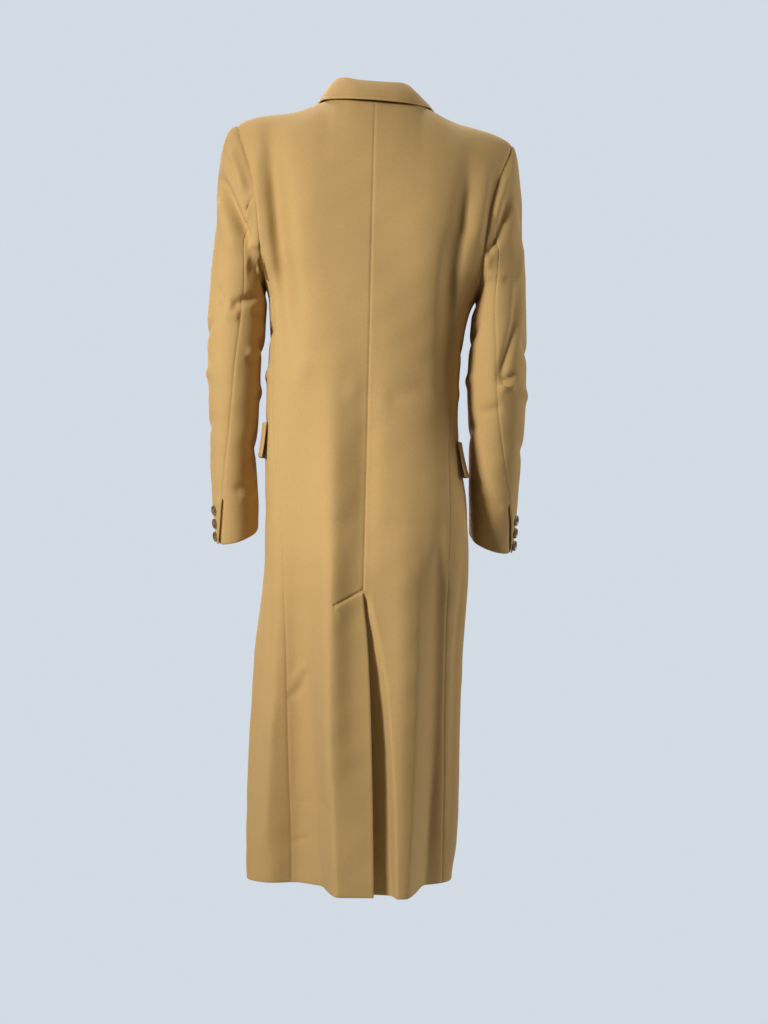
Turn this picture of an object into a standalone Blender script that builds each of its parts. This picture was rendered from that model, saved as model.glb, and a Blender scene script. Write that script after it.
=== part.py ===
"""A woman's long wool overcoat, filled out as when worn, with nobody in it.

Every piece that is cut and sewn is a thin wall of cloth of its own. The coat stands in its own
frame: +Z up, the front facing -Y, the wearer's left at +X, and the origin at the middle of the
neck's base, level with the top of the shoulders. All sizes are in metres.
"""
import math

import bmesh
import bpy
import numpy as np

# ---------------------------------------------------------------- driving sizes
CLOTH = 0.0025            # thickness of the wool cloth
SEAM_GAP = 0.0006       # clearance between two pieces sewn edge to edge
LAY_GAP = 0.0006          # clearance under a piece that lies on another
STAND_GAP = 0.0035        # clearance between the collar stand and the neck edge
LAPEL_GAP = 0.0010        # clearance under a lapel
FLAP_GAP = 0.0013         # clearance under the top of a pocket flap
BUTTON_GAP = 0.0018   # clearance under a front button, on its shank of thread
HEM = -1.155              # height of the hem
ARMHOLE_SPLIT = -0.235    # height where the side seams reach the armhole
ARMPIT = -0.275           # lowest point of the armhole
SHOULDER_TIP = -0.039     # height of the shoulder's end, at the sleeve
TIP_OUT = 0.206           # half of the shoulder width
NECK_OUT = 0.070          # half of the neck's width at its base
NECK_BACK = -0.004        # height of the neck seam at the centre back
SIDE_Y = -0.005           # depth at which the coat is widest
SQUARENESS = 2.3          # 2 is an ellipse, more is squarer
TAPER_FROM = -0.200       # above this height back and front close in to the shoulders
TAPER_POWER = 2.2
CENTRE_LAP = 0.025        # how far each front runs past the centre front
ROLL_CORNER = -0.090      # height of the lowest column's end on the front's roll line
VENT_TOP = -0.716       # height of the top of the centre-back vent
VENT_UNDERLAP = 0.045     # width of the hidden underlap
VENT_DEPTH = (0.0045, 0.0130)   # how deep the underlap lies, at the vent's top and lower down
FLAP_TOP = -0.486         # pocket flap
FLAP_TALL = 0.052
FLAP_SKEW = 0.005         # how far the left flap sits above, and the right one below, that
FLAP_FROM = math.radians(72)
FLAP_TO = math.radians(150)
FLAP_FLARE = 0.0060       # how far its low edge stands off
FRONT_BUTTON = 0.0125     # radius
CUFF_BUTTON = 0.0078      # radius

# ---------------------------------------------------------------- rows and columns of the pieces
LOW_ROWS = 22             # hem to armhole
HIGH_ROWS = 8             # armhole to shoulder
BACK_COLUMNS = 9
NECK_COLUMNS = 4          # of the back's columns, those that end at the neck
FRONT_COLUMNS = 9
SIDE_COLUMNS = 5
UNDERLAP_COLUMNS = 3
FLAP_COLUMNS = 8
FLAP_ROWS = 3
LAPEL_COLUMN_COUNT = 5
LAPEL_ROWS = 12
HINDARM = 3               # rows up the back armhole where the hindarm seam starts
CAP_RINGS = 7
ARM_RINGS = 13

# Half widths to the left and right, and how far back and front stand from the middle.
BODY_COLUMNS = ("height", "left", "right", "back", "front")
BODY = (
    (0.010, 0.208, 0.208, 0.113, 0.078),
    (-0.042, 0.2085, 0.2085, 0.119, 0.092),
    (-0.100, 0.2085, 0.2085, 0.122, 0.110),
    (-0.150, 0.206, 0.206, 0.123, 0.122),
    (-0.200, 0.198, 0.198, 0.123, 0.129),
    (-0.235, 0.184, 0.184, 0.122, 0.131),
    (-0.275, 0.1590, 0.1580, 0.119, 0.130),
    (-0.300, 0.1525, 0.1480, 0.117, 0.128),
    (-0.340, 0.1510, 0.1410, 0.112, 0.123),
    (-0.390, 0.1530, 0.1360, 0.106, 0.117),
    (-0.440, 0.1550, 0.1345, 0.103, 0.113),
    (-0.530, 0.1545, 0.1425, 0.107, 0.117),
    (-0.575, 0.1525, 0.1500, 0.113, 0.122),
    (-0.620, 0.1505, 0.1525, 0.121, 0.127),
    (-0.680, 0.1500, 0.1545, 0.128, 0.131),
    (-0.740, 0.1525, 0.1530, 0.120, 0.134),
    (-0.800, 0.1550, 0.1500, 0.110, 0.137),
    (-0.950, 0.1615, 0.1490, 0.090, 0.143),
    (-1.070, 0.1632, 0.1490, 0.074, 0.149),
    (-1.160, 0.1648, 0.1400, 0.066, 0.154),
)

# The line of the shoulders and, inside the neck, the height at which the form would close.
RIDGE_COLUMNS = ("out", "height")
RIDGE = (
    (0.000, 0.045), (0.030, 0.040), (0.055, 0.022), (0.070, 0.008), (0.087, 0.000),
    (0.098, -0.0055), (0.113, -0.0115), (0.128, -0.0155), (0.150, -0.0190),
    (0.170, -0.0232), (0.190, -0.0292), (0.200, -0.0342), (0.206, -0.0390), (0.209, -0.0430),
)

# Seams and edges, as distances from the centre. The vent's columns are the left half's free
# edge, and the fold where the right half turns inward.
SEAM_COLUMNS = ("height", "left", "right", "front", "vent_edge", "vent_fold")
SEAMS = (
    (-0.235, 0.1630, 0.1630, 0.1500, 0.0, 0.0),
    (-0.290, 0.1490, 0.1430, 0.1320, 0.0, 0.0),
    (-0.340, 0.1440, 0.1300, 0.1260, 0.0, 0.0),
    (-0.440, 0.1430, 0.1220, 0.1200, 0.0, 0.0),
    (-0.510, 0.1400, 0.1215, 0.1220, 0.0, 0.0),
    (-0.600, 0.1270, 0.1235, 0.1260, 0.0, 0.0),
    (-0.716, 0.1172, 0.1230, 0.1283, 0.0, 0.0),
    (-0.742, 0.1160, 0.1222, 0.1286, -0.0022, -0.0048),
    (-0.780, 0.1135, 0.1220, 0.1290, -0.0070, -0.0130),
    (-0.860, 0.1100, 0.1220, 0.1300, -0.0130, -0.0230),
    (-0.980, 0.1050, 0.1235, 0.1310, -0.0190, -0.0330),
    (-1.070, 0.1000, 0.1250, 0.1315, -0.0225, -0.0375),
    (-1.160, 0.0970, 0.1260, 0.1320, -0.0255, -0.0410),
)

# The armhole, from the armpit to the shoulder's tip, as seen from behind and from the front.
ARMHOLE_COLUMNS = ("height", "back_out", "front_out")
ARMHOLE = (
    (ARMHOLE_SPLIT, 0.1630, 0.1500), (-0.200, 0.1660, 0.1490), (-0.160, 0.1710, 0.1540),
    (-0.120, 0.1800, 0.1660), (-0.080, 0.1930, 0.1840), (-0.058, 0.2010, 0.1970),
    (SHOULDER_TIP, 0.2060, 0.2060),
)

# The front edge of a front, past the centre, and above the break the roll line of the lapel.
FRONT_EDGE_COLUMNS = ("height", "out")
FRONT_EDGE = (
    (HEM, -CENTRE_LAP), (-0.360, -CENTRE_LAP), (-0.330, -0.0190), (-0.300, -0.0060),
    (-0.235, 0.0180), (-0.120, 0.0480), (-0.050, 0.0630), (0.000, 0.0692), (0.008, NECK_OUT),
)

# The middle of the skirt's back hangs out behind its sides, between two soft slopes.
BULGE_COLUMNS = ("height", "left", "right", "slope", "depth")
BULGE = (
    (-0.620, 0.063, -0.096, 0.024, 0.000), (-0.740, 0.065, -0.096, 0.020, 0.018),
    (-0.900, 0.060, -0.096, 0.018, 0.042), (-1.050, 0.048, -0.092, 0.016, 0.064),
    (-1.160, 0.041, -0.087, 0.015, 0.082),
)

# Large folds: a ridge, or a trough where its depth is negative, at its deepest in its middle
# or, where it is open, at its low end.
FOLD_COLUMNS = ("face", "out_top", "out_low", "width", "top", "low", "depth", "open")
FOLDS = (
    ("back", 0.100, 0.100, 0.046, 0.100, -0.500, 0.008, False),
    ("back", -0.095, -0.095, 0.040, 0.100, -0.480, 0.008, False),
    ("back", 0.043, 0.041, 0.021, -0.380, -0.900, 0.009, False),
    ("back", 0.008, 0.006, 0.016, -0.400, -0.720, -0.004, False),
    ("back", -0.062, -0.070, 0.019, -0.400, -1.160, 0.011, True),
    ("back", 0.138, 0.130, 0.013, -0.600, -1.120, -0.008, False),
    ("back", 0.164, 0.124, 0.013, -0.040, -0.370, -0.006, False),
    ("back", -0.142, -0.114, 0.013, -0.060, -0.300, -0.005, False),
    ("back", -0.113, -0.114, 0.011, -0.180, -0.460, -0.006, False),
    ("front", 0.086, 0.078, 0.022, -0.520, -1.160, 0.016, True),
    ("front", -0.080, -0.090, 0.024, -0.500, -1.160, 0.018, True),
    ("front", 0.045, 0.040, 0.018, -0.600, -1.160, -0.008, True),
    ("front", -0.050, -0.046, 0.016, -0.640, -1.160, -0.009, True),
)

# How far each height is tipped up towards the wearer's left, for the body and the sleeves.
TILT_COLUMNS = ("height", "body", "sleeve")
TILT = (
    (0.050, 0.048, 0.048), (-0.290, 0.046, 0.046), (-0.520, 0.042, 0.024),
    (-0.660, 0.030, 0.010), (-0.850, 0.000, 0.000), (-1.160, -0.018, 0.000),
)

# Rings of a sleeve: centre, half width, half depth, pitch (front up) and cross slant.
ARM_COLUMNS = ("height", "left", "left_half", "right", "right_half", "depth_mid",
               "depth_half", "pitch", "slant")
ARM = (
    (-0.305, 0.1990, 0.0425, 0.1920, 0.0415, 0.000, 0.0600, 0, 0.00),
    (-0.345, 0.1995, 0.0430, 0.1915, 0.0435, 0.002, 0.0590, 2, 0.00),
    (-0.400, 0.2015, 0.0400, 0.1910, 0.0440, -0.001, 0.0565, 6, 0.00),
    (-0.470, 0.2020, 0.0378, 0.1925, 0.0415, -0.014, 0.0540, 12, 0.00),
    (-0.530, 0.2036, 0.0340, 0.1920, 0.0385, -0.028, 0.0525, 14, 0.05),
    (-0.590, 0.2003, 0.0343, 0.1920, 0.0370, -0.043, 0.0520, 15, 0.15),
    (-0.645, 0.1975, 0.0338, 0.1915, 0.0355, -0.057, 0.0515, 15, 0.25),
)
CAP_FLATNESS = {"left": 0.56, "right": 0.76}    # of the sleeve's cap, over the shoulder's end

# Places of a sleeve's two seams round its rings: 0 is the back, a quarter turn is outward.
ARM_SEAM_COLUMNS = ("height", "hindarm_left", "hindarm_right", "front")
ARM_SEAMS = (
    (-0.305, -16, -12, 216), (-0.350, -10, -7, 216), (-0.440, 0, 1, 214),
    (-0.530, 13, 26, 214), (-0.600, 30, 46, 215), (-0.645, 43, 56, 216),
)

# The collar round the back of the neck, by the angle from the centre back: how far its crest
# leans in over the neck and rises, and how far its outer edge stands off the neck seam.
COLLAR_COLUMNS = ("angle", "crest_in", "crest_up", "edge_out", "edge_up")
COLLAR = {
    "left": (
        (0, 0.0100, 0.0345, 0.0180, 0.0015), (22, 0.0095, 0.0345, 0.0180, 0.0010),
        (45, 0.0070, 0.0340, 0.0180, -0.0010), (68, 0.0025, 0.0320, 0.0185, -0.0025),
        (86, -0.0010, 0.0270, 0.0210, -0.0010)),
    "right": (
        (0, 0.0100, 0.0345, 0.0180, 0.0015), (22, 0.0100, 0.0345, 0.0180, 0.0010),
        (45, 0.0095, 0.0330, 0.0180, -0.0010), (68, 0.0085, 0.0285, 0.0190, -0.0025),
        (86, 0.0070, 0.0225, 0.0225, -0.0010)),
}
# Its ends lie on the chest: crest, middle and outer edge as seen from the front.
COLLAR_END_COLUMNS = ("crest_out", "crest_height", "middle_out", "middle_height",
                      "edge_out", "edge_height")
COLLAR_ENDS = (
    (0.0655, -0.0160, 0.0860, -0.0200, 0.1050, -0.0200),
    (0.0632, -0.0360, 0.0900, -0.0430, 0.1120, -0.0350),
    (0.0608, -0.0560, 0.0980, -0.0690, 0.1170, -0.0490),
)

# The lapel, from its break up to the gorge: roll line and outer edge seen from the front.
LAPEL_COLUMNS = ("roll_out", "roll_height", "edge_out", "edge_height")
LAPEL = (
    (0.0040, -0.2730, 0.0090, -0.2770), (0.0120, -0.2540, 0.0330, -0.2600),
    (0.0215, -0.2270, 0.0600, -0.2360), (0.0310, -0.1930, 0.0850, -0.2010),
    (0.0405, -0.1560, 0.1080, -0.1600), (0.0490, -0.1210, 0.1240, -0.1200),
    (0.0560, -0.0890, 0.1340, -0.0860), (0.0608, -0.0568, 0.0980, -0.0698),
)

# Buttons: heights of those at the centre front and on each cuff.
FRONT_BUTTONS = (-0.325, -0.440, -0.555)
CUFF_BUTTONS = (-0.598, -0.6165, -0.635)
CUFF_BUTTON_TURN = {"left": math.radians(53), "right": math.radians(66)}
CUFF_BUTTON_TILT = 0.20   # how far a cuff button tips towards the back on its shank
BUTTON_PROFILE = ((0.0, 0.0), (0.86, 0.0), (1.0, 0.35), (0.92, 0.95), (0.70, 1.0), (0.55, 0.70),
                  (0.0, 0.70))
BUTTON_THICK = 0.22       # of its radius


# ---------------------------------------------------------------- curves through the tables
def smooth_curve(knots, values):
    """A function that runs smoothly through the values and never past them."""
    order = np.argsort(knots)
    knots = np.asarray(knots, float)[order]
    values = np.asarray(values, float)[order]
    steps = np.diff(knots)
    slopes = np.diff(values) / steps
    tangents = np.zeros(len(knots))
    for i in range(1, len(knots) - 1):
        if slopes[i - 1] * slopes[i] > 0:
            before = 2 * steps[i] + steps[i - 1]
            after = steps[i] + 2 * steps[i - 1]
            tangents[i] = (before + after) / (before / slopes[i - 1] + after / slopes[i])
    tangents[0] = slopes[0]
    tangents[-1] = slopes[-1]

    def curve(where):
        where = np.clip(where, knots[0], knots[-1])
        i = np.clip(np.searchsorted(knots, where) - 1, 0, len(steps) - 1)
        t = (where - knots[i]) / steps[i]
        level = values[i] * (1 + 2 * t) * (1 - t) ** 2 + values[i + 1] * t * t * (3 - 2 * t)
        bend = tangents[i] * t * (1 - t) ** 2 - tangents[i + 1] * t * t * (1 - t)
        return level + steps[i] * bend

    return curve


def curves(columns, rows):
    """One smooth curve for each column of a table after the first, by name."""
    first = [row[0] for row in rows]
    return {name: smooth_curve(first, [row[k] for row in rows])
            for k, name in enumerate(columns) if k > 0}


body = curves(BODY_COLUMNS, BODY)
ridge = curves(RIDGE_COLUMNS, RIDGE)["height"]
seams = curves(SEAM_COLUMNS, SEAMS)
armhole = curves(ARMHOLE_COLUMNS, ARMHOLE)
front_edge = curves(FRONT_EDGE_COLUMNS, FRONT_EDGE)["out"]
bulge = curves(BULGE_COLUMNS, BULGE)
tilt = curves(TILT_COLUMNS, TILT)
arm = curves(ARM_COLUMNS, ARM)
arm_seams = curves(ARM_SEAM_COLUMNS, ARM_SEAMS)


def fade(t):
    """0 below 0, 1 above 1, smooth between."""
    t = np.clip(t, 0.0, 1.0)
    return t * t * (3 - 2 * t)


# ---------------------------------------------------------------- the form that the cloth takes
def half_width(x, z):
    return np.where(np.asarray(x) >= 0, body["left"](z), body["right"](z))


def fold_relief(x, z, face):
    """How far the large folds push the cloth out, at a place seen from behind or in front."""
    total = np.zeros(np.broadcast(x, z).shape)
    for on, out_top, out_low, width, top, low, depth, is_open in FOLDS:
        if on == face:
            down = np.clip((top - z) / (top - low), 0.0, 1.0)
            middle = out_top + (out_low - out_top) * down
            along = fade(1.3 * down) if is_open else np.sin(math.pi * down)
            total = total + depth * along * np.exp(-((x - middle) / width) ** 2)
    if face == "back":
        inside_left = fade((bulge["left"](z) - x) / (2 * bulge["slope"](z)) + 0.5)
        inside_right = fade((x - bulge["right"](z)) / (2 * bulge["slope"](z)) + 0.5)
        total = total + bulge["depth"](z) * inside_left * inside_right
    return total


def body_surface(x, z, face):
    """A point of the coat's outer surface at x and z, on its back or its front."""
    x = np.asarray(x, float)
    z = np.asarray(z, float)
    share = np.clip(np.abs(x) / half_width(x, z), 0.0, 1.0)
    ring = (1 - share ** SQUARENESS) ** (1 / SQUARENESS)
    rise = np.clip((z - TAPER_FROM) / (ridge(np.abs(x)) - TAPER_FROM), 0.0, 1.0)
    taper = (1 - rise ** TAPER_POWER) ** (1 / TAPER_POWER)
    out = (body[face](z) * ring + fold_relief(x, z, face) * fade(2 * ring)) * taper
    y = SIDE_Y + (out if face == "back" else -out)
    return np.stack(np.broadcast_arrays(x, y, z), axis=-1)


def turn_at(x, z, face):
    """The angle round the body, from the centre back, of a place at x and z."""
    share = np.clip(np.abs(x) / half_width(x, z), 0.0, 1.0)
    turn = np.arcsin(share ** (SQUARENESS / 2))
    return turn if face == "back" else math.pi - turn


def side_surface(turn, z, side):
    """A point of the outer surface by its angle round the body, for the coat's sides."""
    x = side * half_width(side, z) * np.sin(turn) ** (2 / SQUARENESS)
    facing_back = body_surface(x, z, "back")
    facing_front = body_surface(x, z, "front")
    return np.where((np.cos(turn) >= 0)[..., None], facing_back, facing_front)


def posed(points, part="body"):
    """The same points with the shoulders and pockets tipped as they hang."""
    points = np.array(points, float)
    points[..., 2] += points[..., 0] * tilt[part](points[..., 2])
    return points


def spaced(line, count):
    """Points at even distances along a line of many points, its ends included."""
    lengths = np.linalg.norm(np.diff(line, axis=0), axis=1)
    along = np.concatenate([[0.0], np.cumsum(lengths)])
    marks = np.linspace(0.0, along[-1], count)
    return np.stack([np.interp(marks, along, line[:, k]) for k in range(3)], axis=1)


# ---------------------------------------------------------------- grids of points, by piece
def low_heights():
    """Heights of the rows from the hem to the armhole, one of them at the vent's top."""
    vent_rows = 11
    below = np.linspace(HEM, VENT_TOP, vent_rows + 1)
    above = np.linspace(VENT_TOP, ARMHOLE_SPLIT, LOW_ROWS - vent_rows + 1)
    return np.concatenate([below, above[1:]]), vent_rows


def upper_columns(low_xs, tops, face, side, armhole_out):
    """Columns from the armhole's foot up to the neck and shoulder, evenly spaced in length."""
    steps = 1 - (1 - np.linspace(0.0, 1.0, 400)) ** 2.5
    last = len(tops) - 1
    columns = []
    for i, (top_x, top_z) in enumerate(tops):
        z = ARMHOLE_SPLIT + (top_z - ARMHOLE_SPLIT) * steps
        x = low_xs[i] + (top_x - low_xs[i]) * steps
        edge_z = ARMHOLE_SPLIT + (SHOULDER_TIP - ARMHOLE_SPLIT) * steps
        straight = low_xs[last] + (tops[last][0] - low_xs[last]) * steps
        x = x + (i / last) ** 2 * (armhole_out(edge_z) - straight)
        columns.append(spaced(body_surface(side * x, z, face), HIGH_ROWS + 1))
    return np.stack(columns, axis=1)


def shoulder_tops(count):
    """Places along the shoulder line, from the neck to the sleeve."""
    outs = np.linspace(NECK_OUT, TIP_OUT, count)
    return [(out, float(ridge(out))) for out in outs]


def neck_place(angle):
    """Where the back neck seam runs, by its angle from the centre back: out and height."""
    rise = (float(ridge(NECK_OUT)) - NECK_BACK) * math.sin(angle) ** 3
    return NECK_OUT * math.sin(angle), NECK_BACK + rise


def back_grid(side):
    """A back half: rows from the hem up, columns from the centre outward."""
    heights, vent_rows = low_heights()
    centre = seams["vent_edge" if side > 0 else "vent_fold"](heights) * side
    outer = seams["left" if side > 0 else "right"](heights)
    share = np.linspace(0.0, 1.0, BACK_COLUMNS + 1)
    x = centre[:, None] * (1 - share) + outer[:, None] * share
    low = body_surface(side * x, heights[:, None], "back")
    neck = [neck_place(0.5 * math.pi * i / NECK_COLUMNS) for i in range(NECK_COLUMNS)]
    tops = neck + shoulder_tops(BACK_COLUMNS - NECK_COLUMNS + 1)
    high = upper_columns(x[-1], tops, "back", side, armhole["back_out"])
    grid = np.concatenate([low, high[1:]])
    if side > 0:
        return grid, None
    return with_underlap(grid, heights, vent_rows)


def with_underlap(grid, heights, vent_rows):
    """The right back with the vent's underlap, which turns in and passes below the left."""
    depth = VENT_DEPTH[0] + (VENT_DEPTH[1] - VENT_DEPTH[0]) * fade((VENT_TOP - heights) / 0.25)
    depth[vent_rows:] = 0.0
    grid[:len(heights), 0, 1] -= depth
    full = np.repeat(grid[:, :1], UNDERLAP_COLUMNS, axis=1)
    for k in range(UNDERLAP_COLUMNS):
        reach = VENT_UNDERLAP * (UNDERLAP_COLUMNS - k) / UNDERLAP_COLUMNS
        x = grid[:vent_rows, 0, 0] + reach
        lower = body_surface(x, heights[:vent_rows], "back")
        lower[:, 1] -= depth[:vent_rows]
        full[:vent_rows, k] = lower
    full = np.concatenate([full, grid], axis=1)
    cells = np.ones((full.shape[0] - 1, full.shape[1] - 1), bool)
    cells[vent_rows - 1:, :UNDERLAP_COLUMNS] = False
    return full, cells


def front_grid(side):
    """A front: rows from the hem up, columns from the front edge outward."""
    heights, _ = low_heights()
    share = np.linspace(0.0, 1.0, FRONT_COLUMNS + 1)
    inner = front_edge(heights)
    outer = seams["front"](heights)
    x = inner[:, None] * (1 - share) + outer[:, None] * share
    low = body_surface(side * x, heights[:, None], "front")
    roll = np.linspace(ROLL_CORNER, float(ridge(NECK_OUT)), NECK_COLUMNS + 1)[:-1]
    tops = [(float(front_edge(z)), z) for z in roll]
    tops += shoulder_tops(FRONT_COLUMNS - NECK_COLUMNS + 1)
    high = upper_columns(x[-1], tops, "front", side, armhole["front_out"])
    for j in range(1, HIGH_ROWS):
        z = high[j, 0, 2]
        high[j, 0] = body_surface(side * front_edge(z), z, "front")
    grid = np.concatenate([low, high[1:]])
    grid[..., 1] -= lap_lift(grid[..., 0], grid[..., 2], side)
    return grid


def lap_lift(x, z, side):
    """How far the right front stands forward where it laps over the left."""
    if side > 0:
        return np.zeros(np.broadcast(x, z).shape)
    return (CLOTH + LAY_GAP) * fade((x + 0.070) / 0.035) * fade((-0.225 - z) / 0.040)


def side_grid(side):
    """A side body: columns from the side-back seam round to the front."""
    heights, _ = low_heights()
    back = turn_at(seams["left" if side > 0 else "right"](heights) * side, heights, "back")
    front = turn_at(seams["front"](heights) * side, heights, "front")
    share = np.linspace(0.0, 1.0, SIDE_COLUMNS + 1)
    turn = back[:, None] * (1 - share) + front[:, None] * share
    rows = np.broadcast_to(heights[:, None], turn.shape).copy()
    dip = (ARMPIT - ARMHOLE_SPLIT) * np.sin(math.pi * share) ** 0.8
    reach = np.clip((heights - (-0.42)) / (ARMHOLE_SPLIT + 0.42), 0.0, 1.0)
    rows += dip * reach[:, None]
    grid = side_surface(turn, rows, side)
    grid[:, 0] = body_surface(side * seams["left" if side > 0 else "right"](heights),
                              heights, "back")
    grid[:, -1] = body_surface(side * seams["front"](heights), heights, "front")
    return grid


def armhole_loop(back, side_piece, front):
    """The armhole's points: from its foot on the back, over the tip, to the front, round below."""
    up_back = back[LOW_ROWS:, -1]
    down_front = front[LOW_ROWS:, -1][::-1]
    below = side_piece[-1][::-1]
    return np.concatenate([up_back, down_front[1:], below[1:-1]])


def sleeve_angles(heights, word):
    """Angles of a sleeve ring's points, in step with the armhole's points."""
    hindarm = np.radians(arm_seams["hindarm_" + word](heights))
    front = np.radians(arm_seams["front"](heights))
    top_count = HIGH_ROWS - HINDARM + HIGH_ROWS
    under_count = SIDE_COLUMNS + HINDARM
    top = hindarm[:, None] + (front - hindarm)[:, None] * np.linspace(0, 1, top_count + 1)
    turn_round = hindarm + 2 * math.pi
    under = front[:, None] + (turn_round - front)[:, None] * np.linspace(0, 1, under_count + 1)
    return np.concatenate([top, under[:, 1:]], axis=1)


def arm_ring(angles, height, side):
    """A ring of a sleeve below the cap."""
    name = "left" if side > 0 else "right"
    across = arm[name + "_half"](height) * np.sin(angles)
    deep = arm["depth_half"](height) * np.cos(angles)
    pitch = np.radians(arm["pitch"](height))
    x = side * (arm[name](height) + across)
    y = arm["depth_mid"](height) + deep * np.cos(pitch)
    z = height - deep * np.sin(pitch) - across * arm["slant"](height)
    return np.stack(np.broadcast_arrays(x, y, z), axis=-1)


def sleeve_start(loop):
    """The armhole's points in a sleeve's own order, from its hindarm seam round to it again."""
    start = np.roll(loop, -HINDARM, axis=0)
    return np.concatenate([start, start[:1]])


def sleeve_grid(loop, side):
    """A whole sleeve: rows from the armhole to the cuff, columns round from the hindarm seam."""
    word = "left" if side > 0 else "right"
    start = sleeve_start(loop)
    heights = np.linspace(ARM[0][0], ARM[-1][0], ARM_RINGS + 1)
    angles = sleeve_angles(heights, word)
    below = np.stack([arm_ring(angles[k], heights[k], side) for k in range(len(heights))])
    first, second = below[0], below[1]
    over = (1 + np.sin(angles[0])) / 2
    length = np.linalg.norm(first - start, axis=1)
    leave = np.stack([side * (0.80 + 0.20 * over), 0.30 * np.cos(angles[0]),
                      -(1.02 - over ** 3)], axis=1)
    leave /= np.linalg.norm(leave, axis=1)[:, None]
    leave *= (length * (0.9 - CAP_FLATNESS[word] * over ** 2))[:, None]
    arrive = (second - first) / np.linalg.norm(second - first, axis=1)[:, None]
    arrive *= (length * (1.0 + 0.6 * over ** 2))[:, None]
    cap = []
    for t in np.linspace(0.0, 1.0, CAP_RINGS + 1)[:-1]:
        t = t ** 1.15
        point = start * (1 + 2 * t) * (1 - t) ** 2 + first * t * t * (3 - 2 * t)
        cap.append(point + leave * t * (1 - t) ** 2 - arrive * t * t * (1 - t))
    return np.concatenate([np.stack(cap), below])


# ---------------------------------------------------------------- from grids to walls of cloth
def facing(grid, outward):
    """1 where rows and columns turn so that faces point outward, else -1."""
    j, i = (grid.shape[0] - 1) // 2, (grid.shape[1] - 1) // 2
    along = grid[j, i + 1] - grid[j, i]
    up = grid[j + 1, i] - grid[j, i]
    return 1 if np.dot(np.cross(along, up), outward) > 0 else -1


def corner_key(point):
    return tuple(np.round(point, 6))


def add_normals(total, grid, cells, way):
    """Adds each cell's normal to the points at its corners, which neighbours share."""
    for j, i in zip(*np.nonzero(cells)):
        normal = way * np.cross(grid[j + 1, i + 1] - grid[j, i], grid[j + 1, i] - grid[j, i + 1])
        for corner in ((j, i), (j, i + 1), (j + 1, i), (j + 1, i + 1)):
            key = corner_key(grid[corner])
            total[key] = total.get(key, 0.0) + normal


def edge_loop(cells, way):
    """The edges of the cells that no other cell shares, in the faces' own direction."""
    edges = set()
    for j, i in zip(*np.nonzero(cells)):
        corners = [(j, i), (j, i + 1), (j + 1, i + 1), (j + 1, i)][::way]
        for k in range(4):
            edge = (corners[k], corners[(k + 1) % 4])
            if (edge[1], edge[0]) in edges:
                edges.remove((edge[1], edge[0]))
            else:
                edges.add(edge)
    return sorted(edges)


def new_object(name, points, faces, material):
    """A mesh object at the origin, with its place in its mesh."""
    mesh = bpy.data.meshes.new(name)
    mesh.from_pydata([tuple(point) for point in points], [], faces)
    mesh.materials.append(material)
    mesh.shade_smooth()
    mesh.set_sharp_from_angle(angle=math.radians(40))
    thing = bpy.data.objects.new(name, mesh)
    bpy.context.scene.collection.objects.link(thing)
    return thing


def cloth_wall(name, grid, cells, way, normals, material, thickness=CLOTH):
    """A closed wall of cloth whose outer side is the grid, drawn back a little at its seams.

    The rims of two pieces that share a seam are split along the same diagonals.
    """
    used = sorted({corner for j, i in zip(*np.nonzero(cells))
                   for corner in ((j, i), (j, i + 1), (j + 1, i), (j + 1, i + 1))})
    rim = edge_loop(cells, way)
    drawn = {}
    for start, end in rim:
        normal = normals[corner_key(grid[start])] + normals[corner_key(grid[end])]
        inward = np.cross(normal, grid[end] - grid[start])
        inward /= np.linalg.norm(inward)
        for corner in (start, end):
            drawn.setdefault(corner, []).append(inward)
    outer, inner = [], []
    for corner in used:
        normal = normals[corner_key(grid[corner])]
        normal = normal / np.linalg.norm(normal)
        place = grid[corner]
        if corner in drawn:
            one, other = drawn[corner][0], drawn[corner][-1]
            mitre = (one + other) / max(1 + np.dot(one, other), 0.5)
            place = place + mitre * SEAM_GAP / 2
        outer.append(place)
        inner.append(place - normal * thickness)
    number = {corner: k for k, corner in enumerate(used)}
    count = len(used)
    faces = []
    for j, i in zip(*np.nonzero(cells)):
        corners = [(j, i), (j, i + 1), (j + 1, i + 1), (j + 1, i)][::way]
        face = [number[corner] for corner in corners]
        faces.append(face)
        faces.append([count + k for k in reversed(face)])
    for start, end in rim:
        a, b = number[start], number[end]
        if corner_key(grid[start]) < corner_key(grid[end]):
            faces += [[b, a, count + b], [a, count + a, count + b]]
        else:
            faces += [[b, a, count + a], [b, count + a, count + b]]
    return new_object(name, outer + inner, faces, material)


def front_place(out, height, side, lift):
    """A point over a front, lifted off its outer side."""
    step = 0.002
    x = side * np.asarray(out, float)
    z = np.asarray(height, float)
    here = body_surface(x, z, "front")
    across = body_surface(x + step, z, "front") - body_surface(x - step, z, "front")
    up = here - body_surface(x, z - step, "front")
    normal = np.cross(across, up)
    normal /= np.linalg.norm(normal, axis=-1)[..., None]
    place = here + normal * np.asarray(lift)[..., None]
    place[..., 1] -= lap_lift(x, z, side)
    return place


def lapel_grid(side):
    """A lapel, turned back over its front: rows from the break up, columns outward."""
    marks = np.arange(len(LAPEL))
    fine = np.linspace(0, len(LAPEL) - 1, LAPEL_ROWS + 1)
    rows = np.stack([smooth_curve(marks, column)(fine) for column in zip(*LAPEL)], axis=1)
    share = np.linspace(0.0, 1.0, LAPEL_COLUMN_COUNT + 1)
    out = rows[:, :1] * (1 - share) + rows[:, 2:3] * share
    height = rows[:, 1:2] * (1 - share) + rows[:, 3:4] * share
    lift = np.full(out.shape, CLOTH + LAPEL_GAP)
    return front_place(out, height, side, lift)


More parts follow.
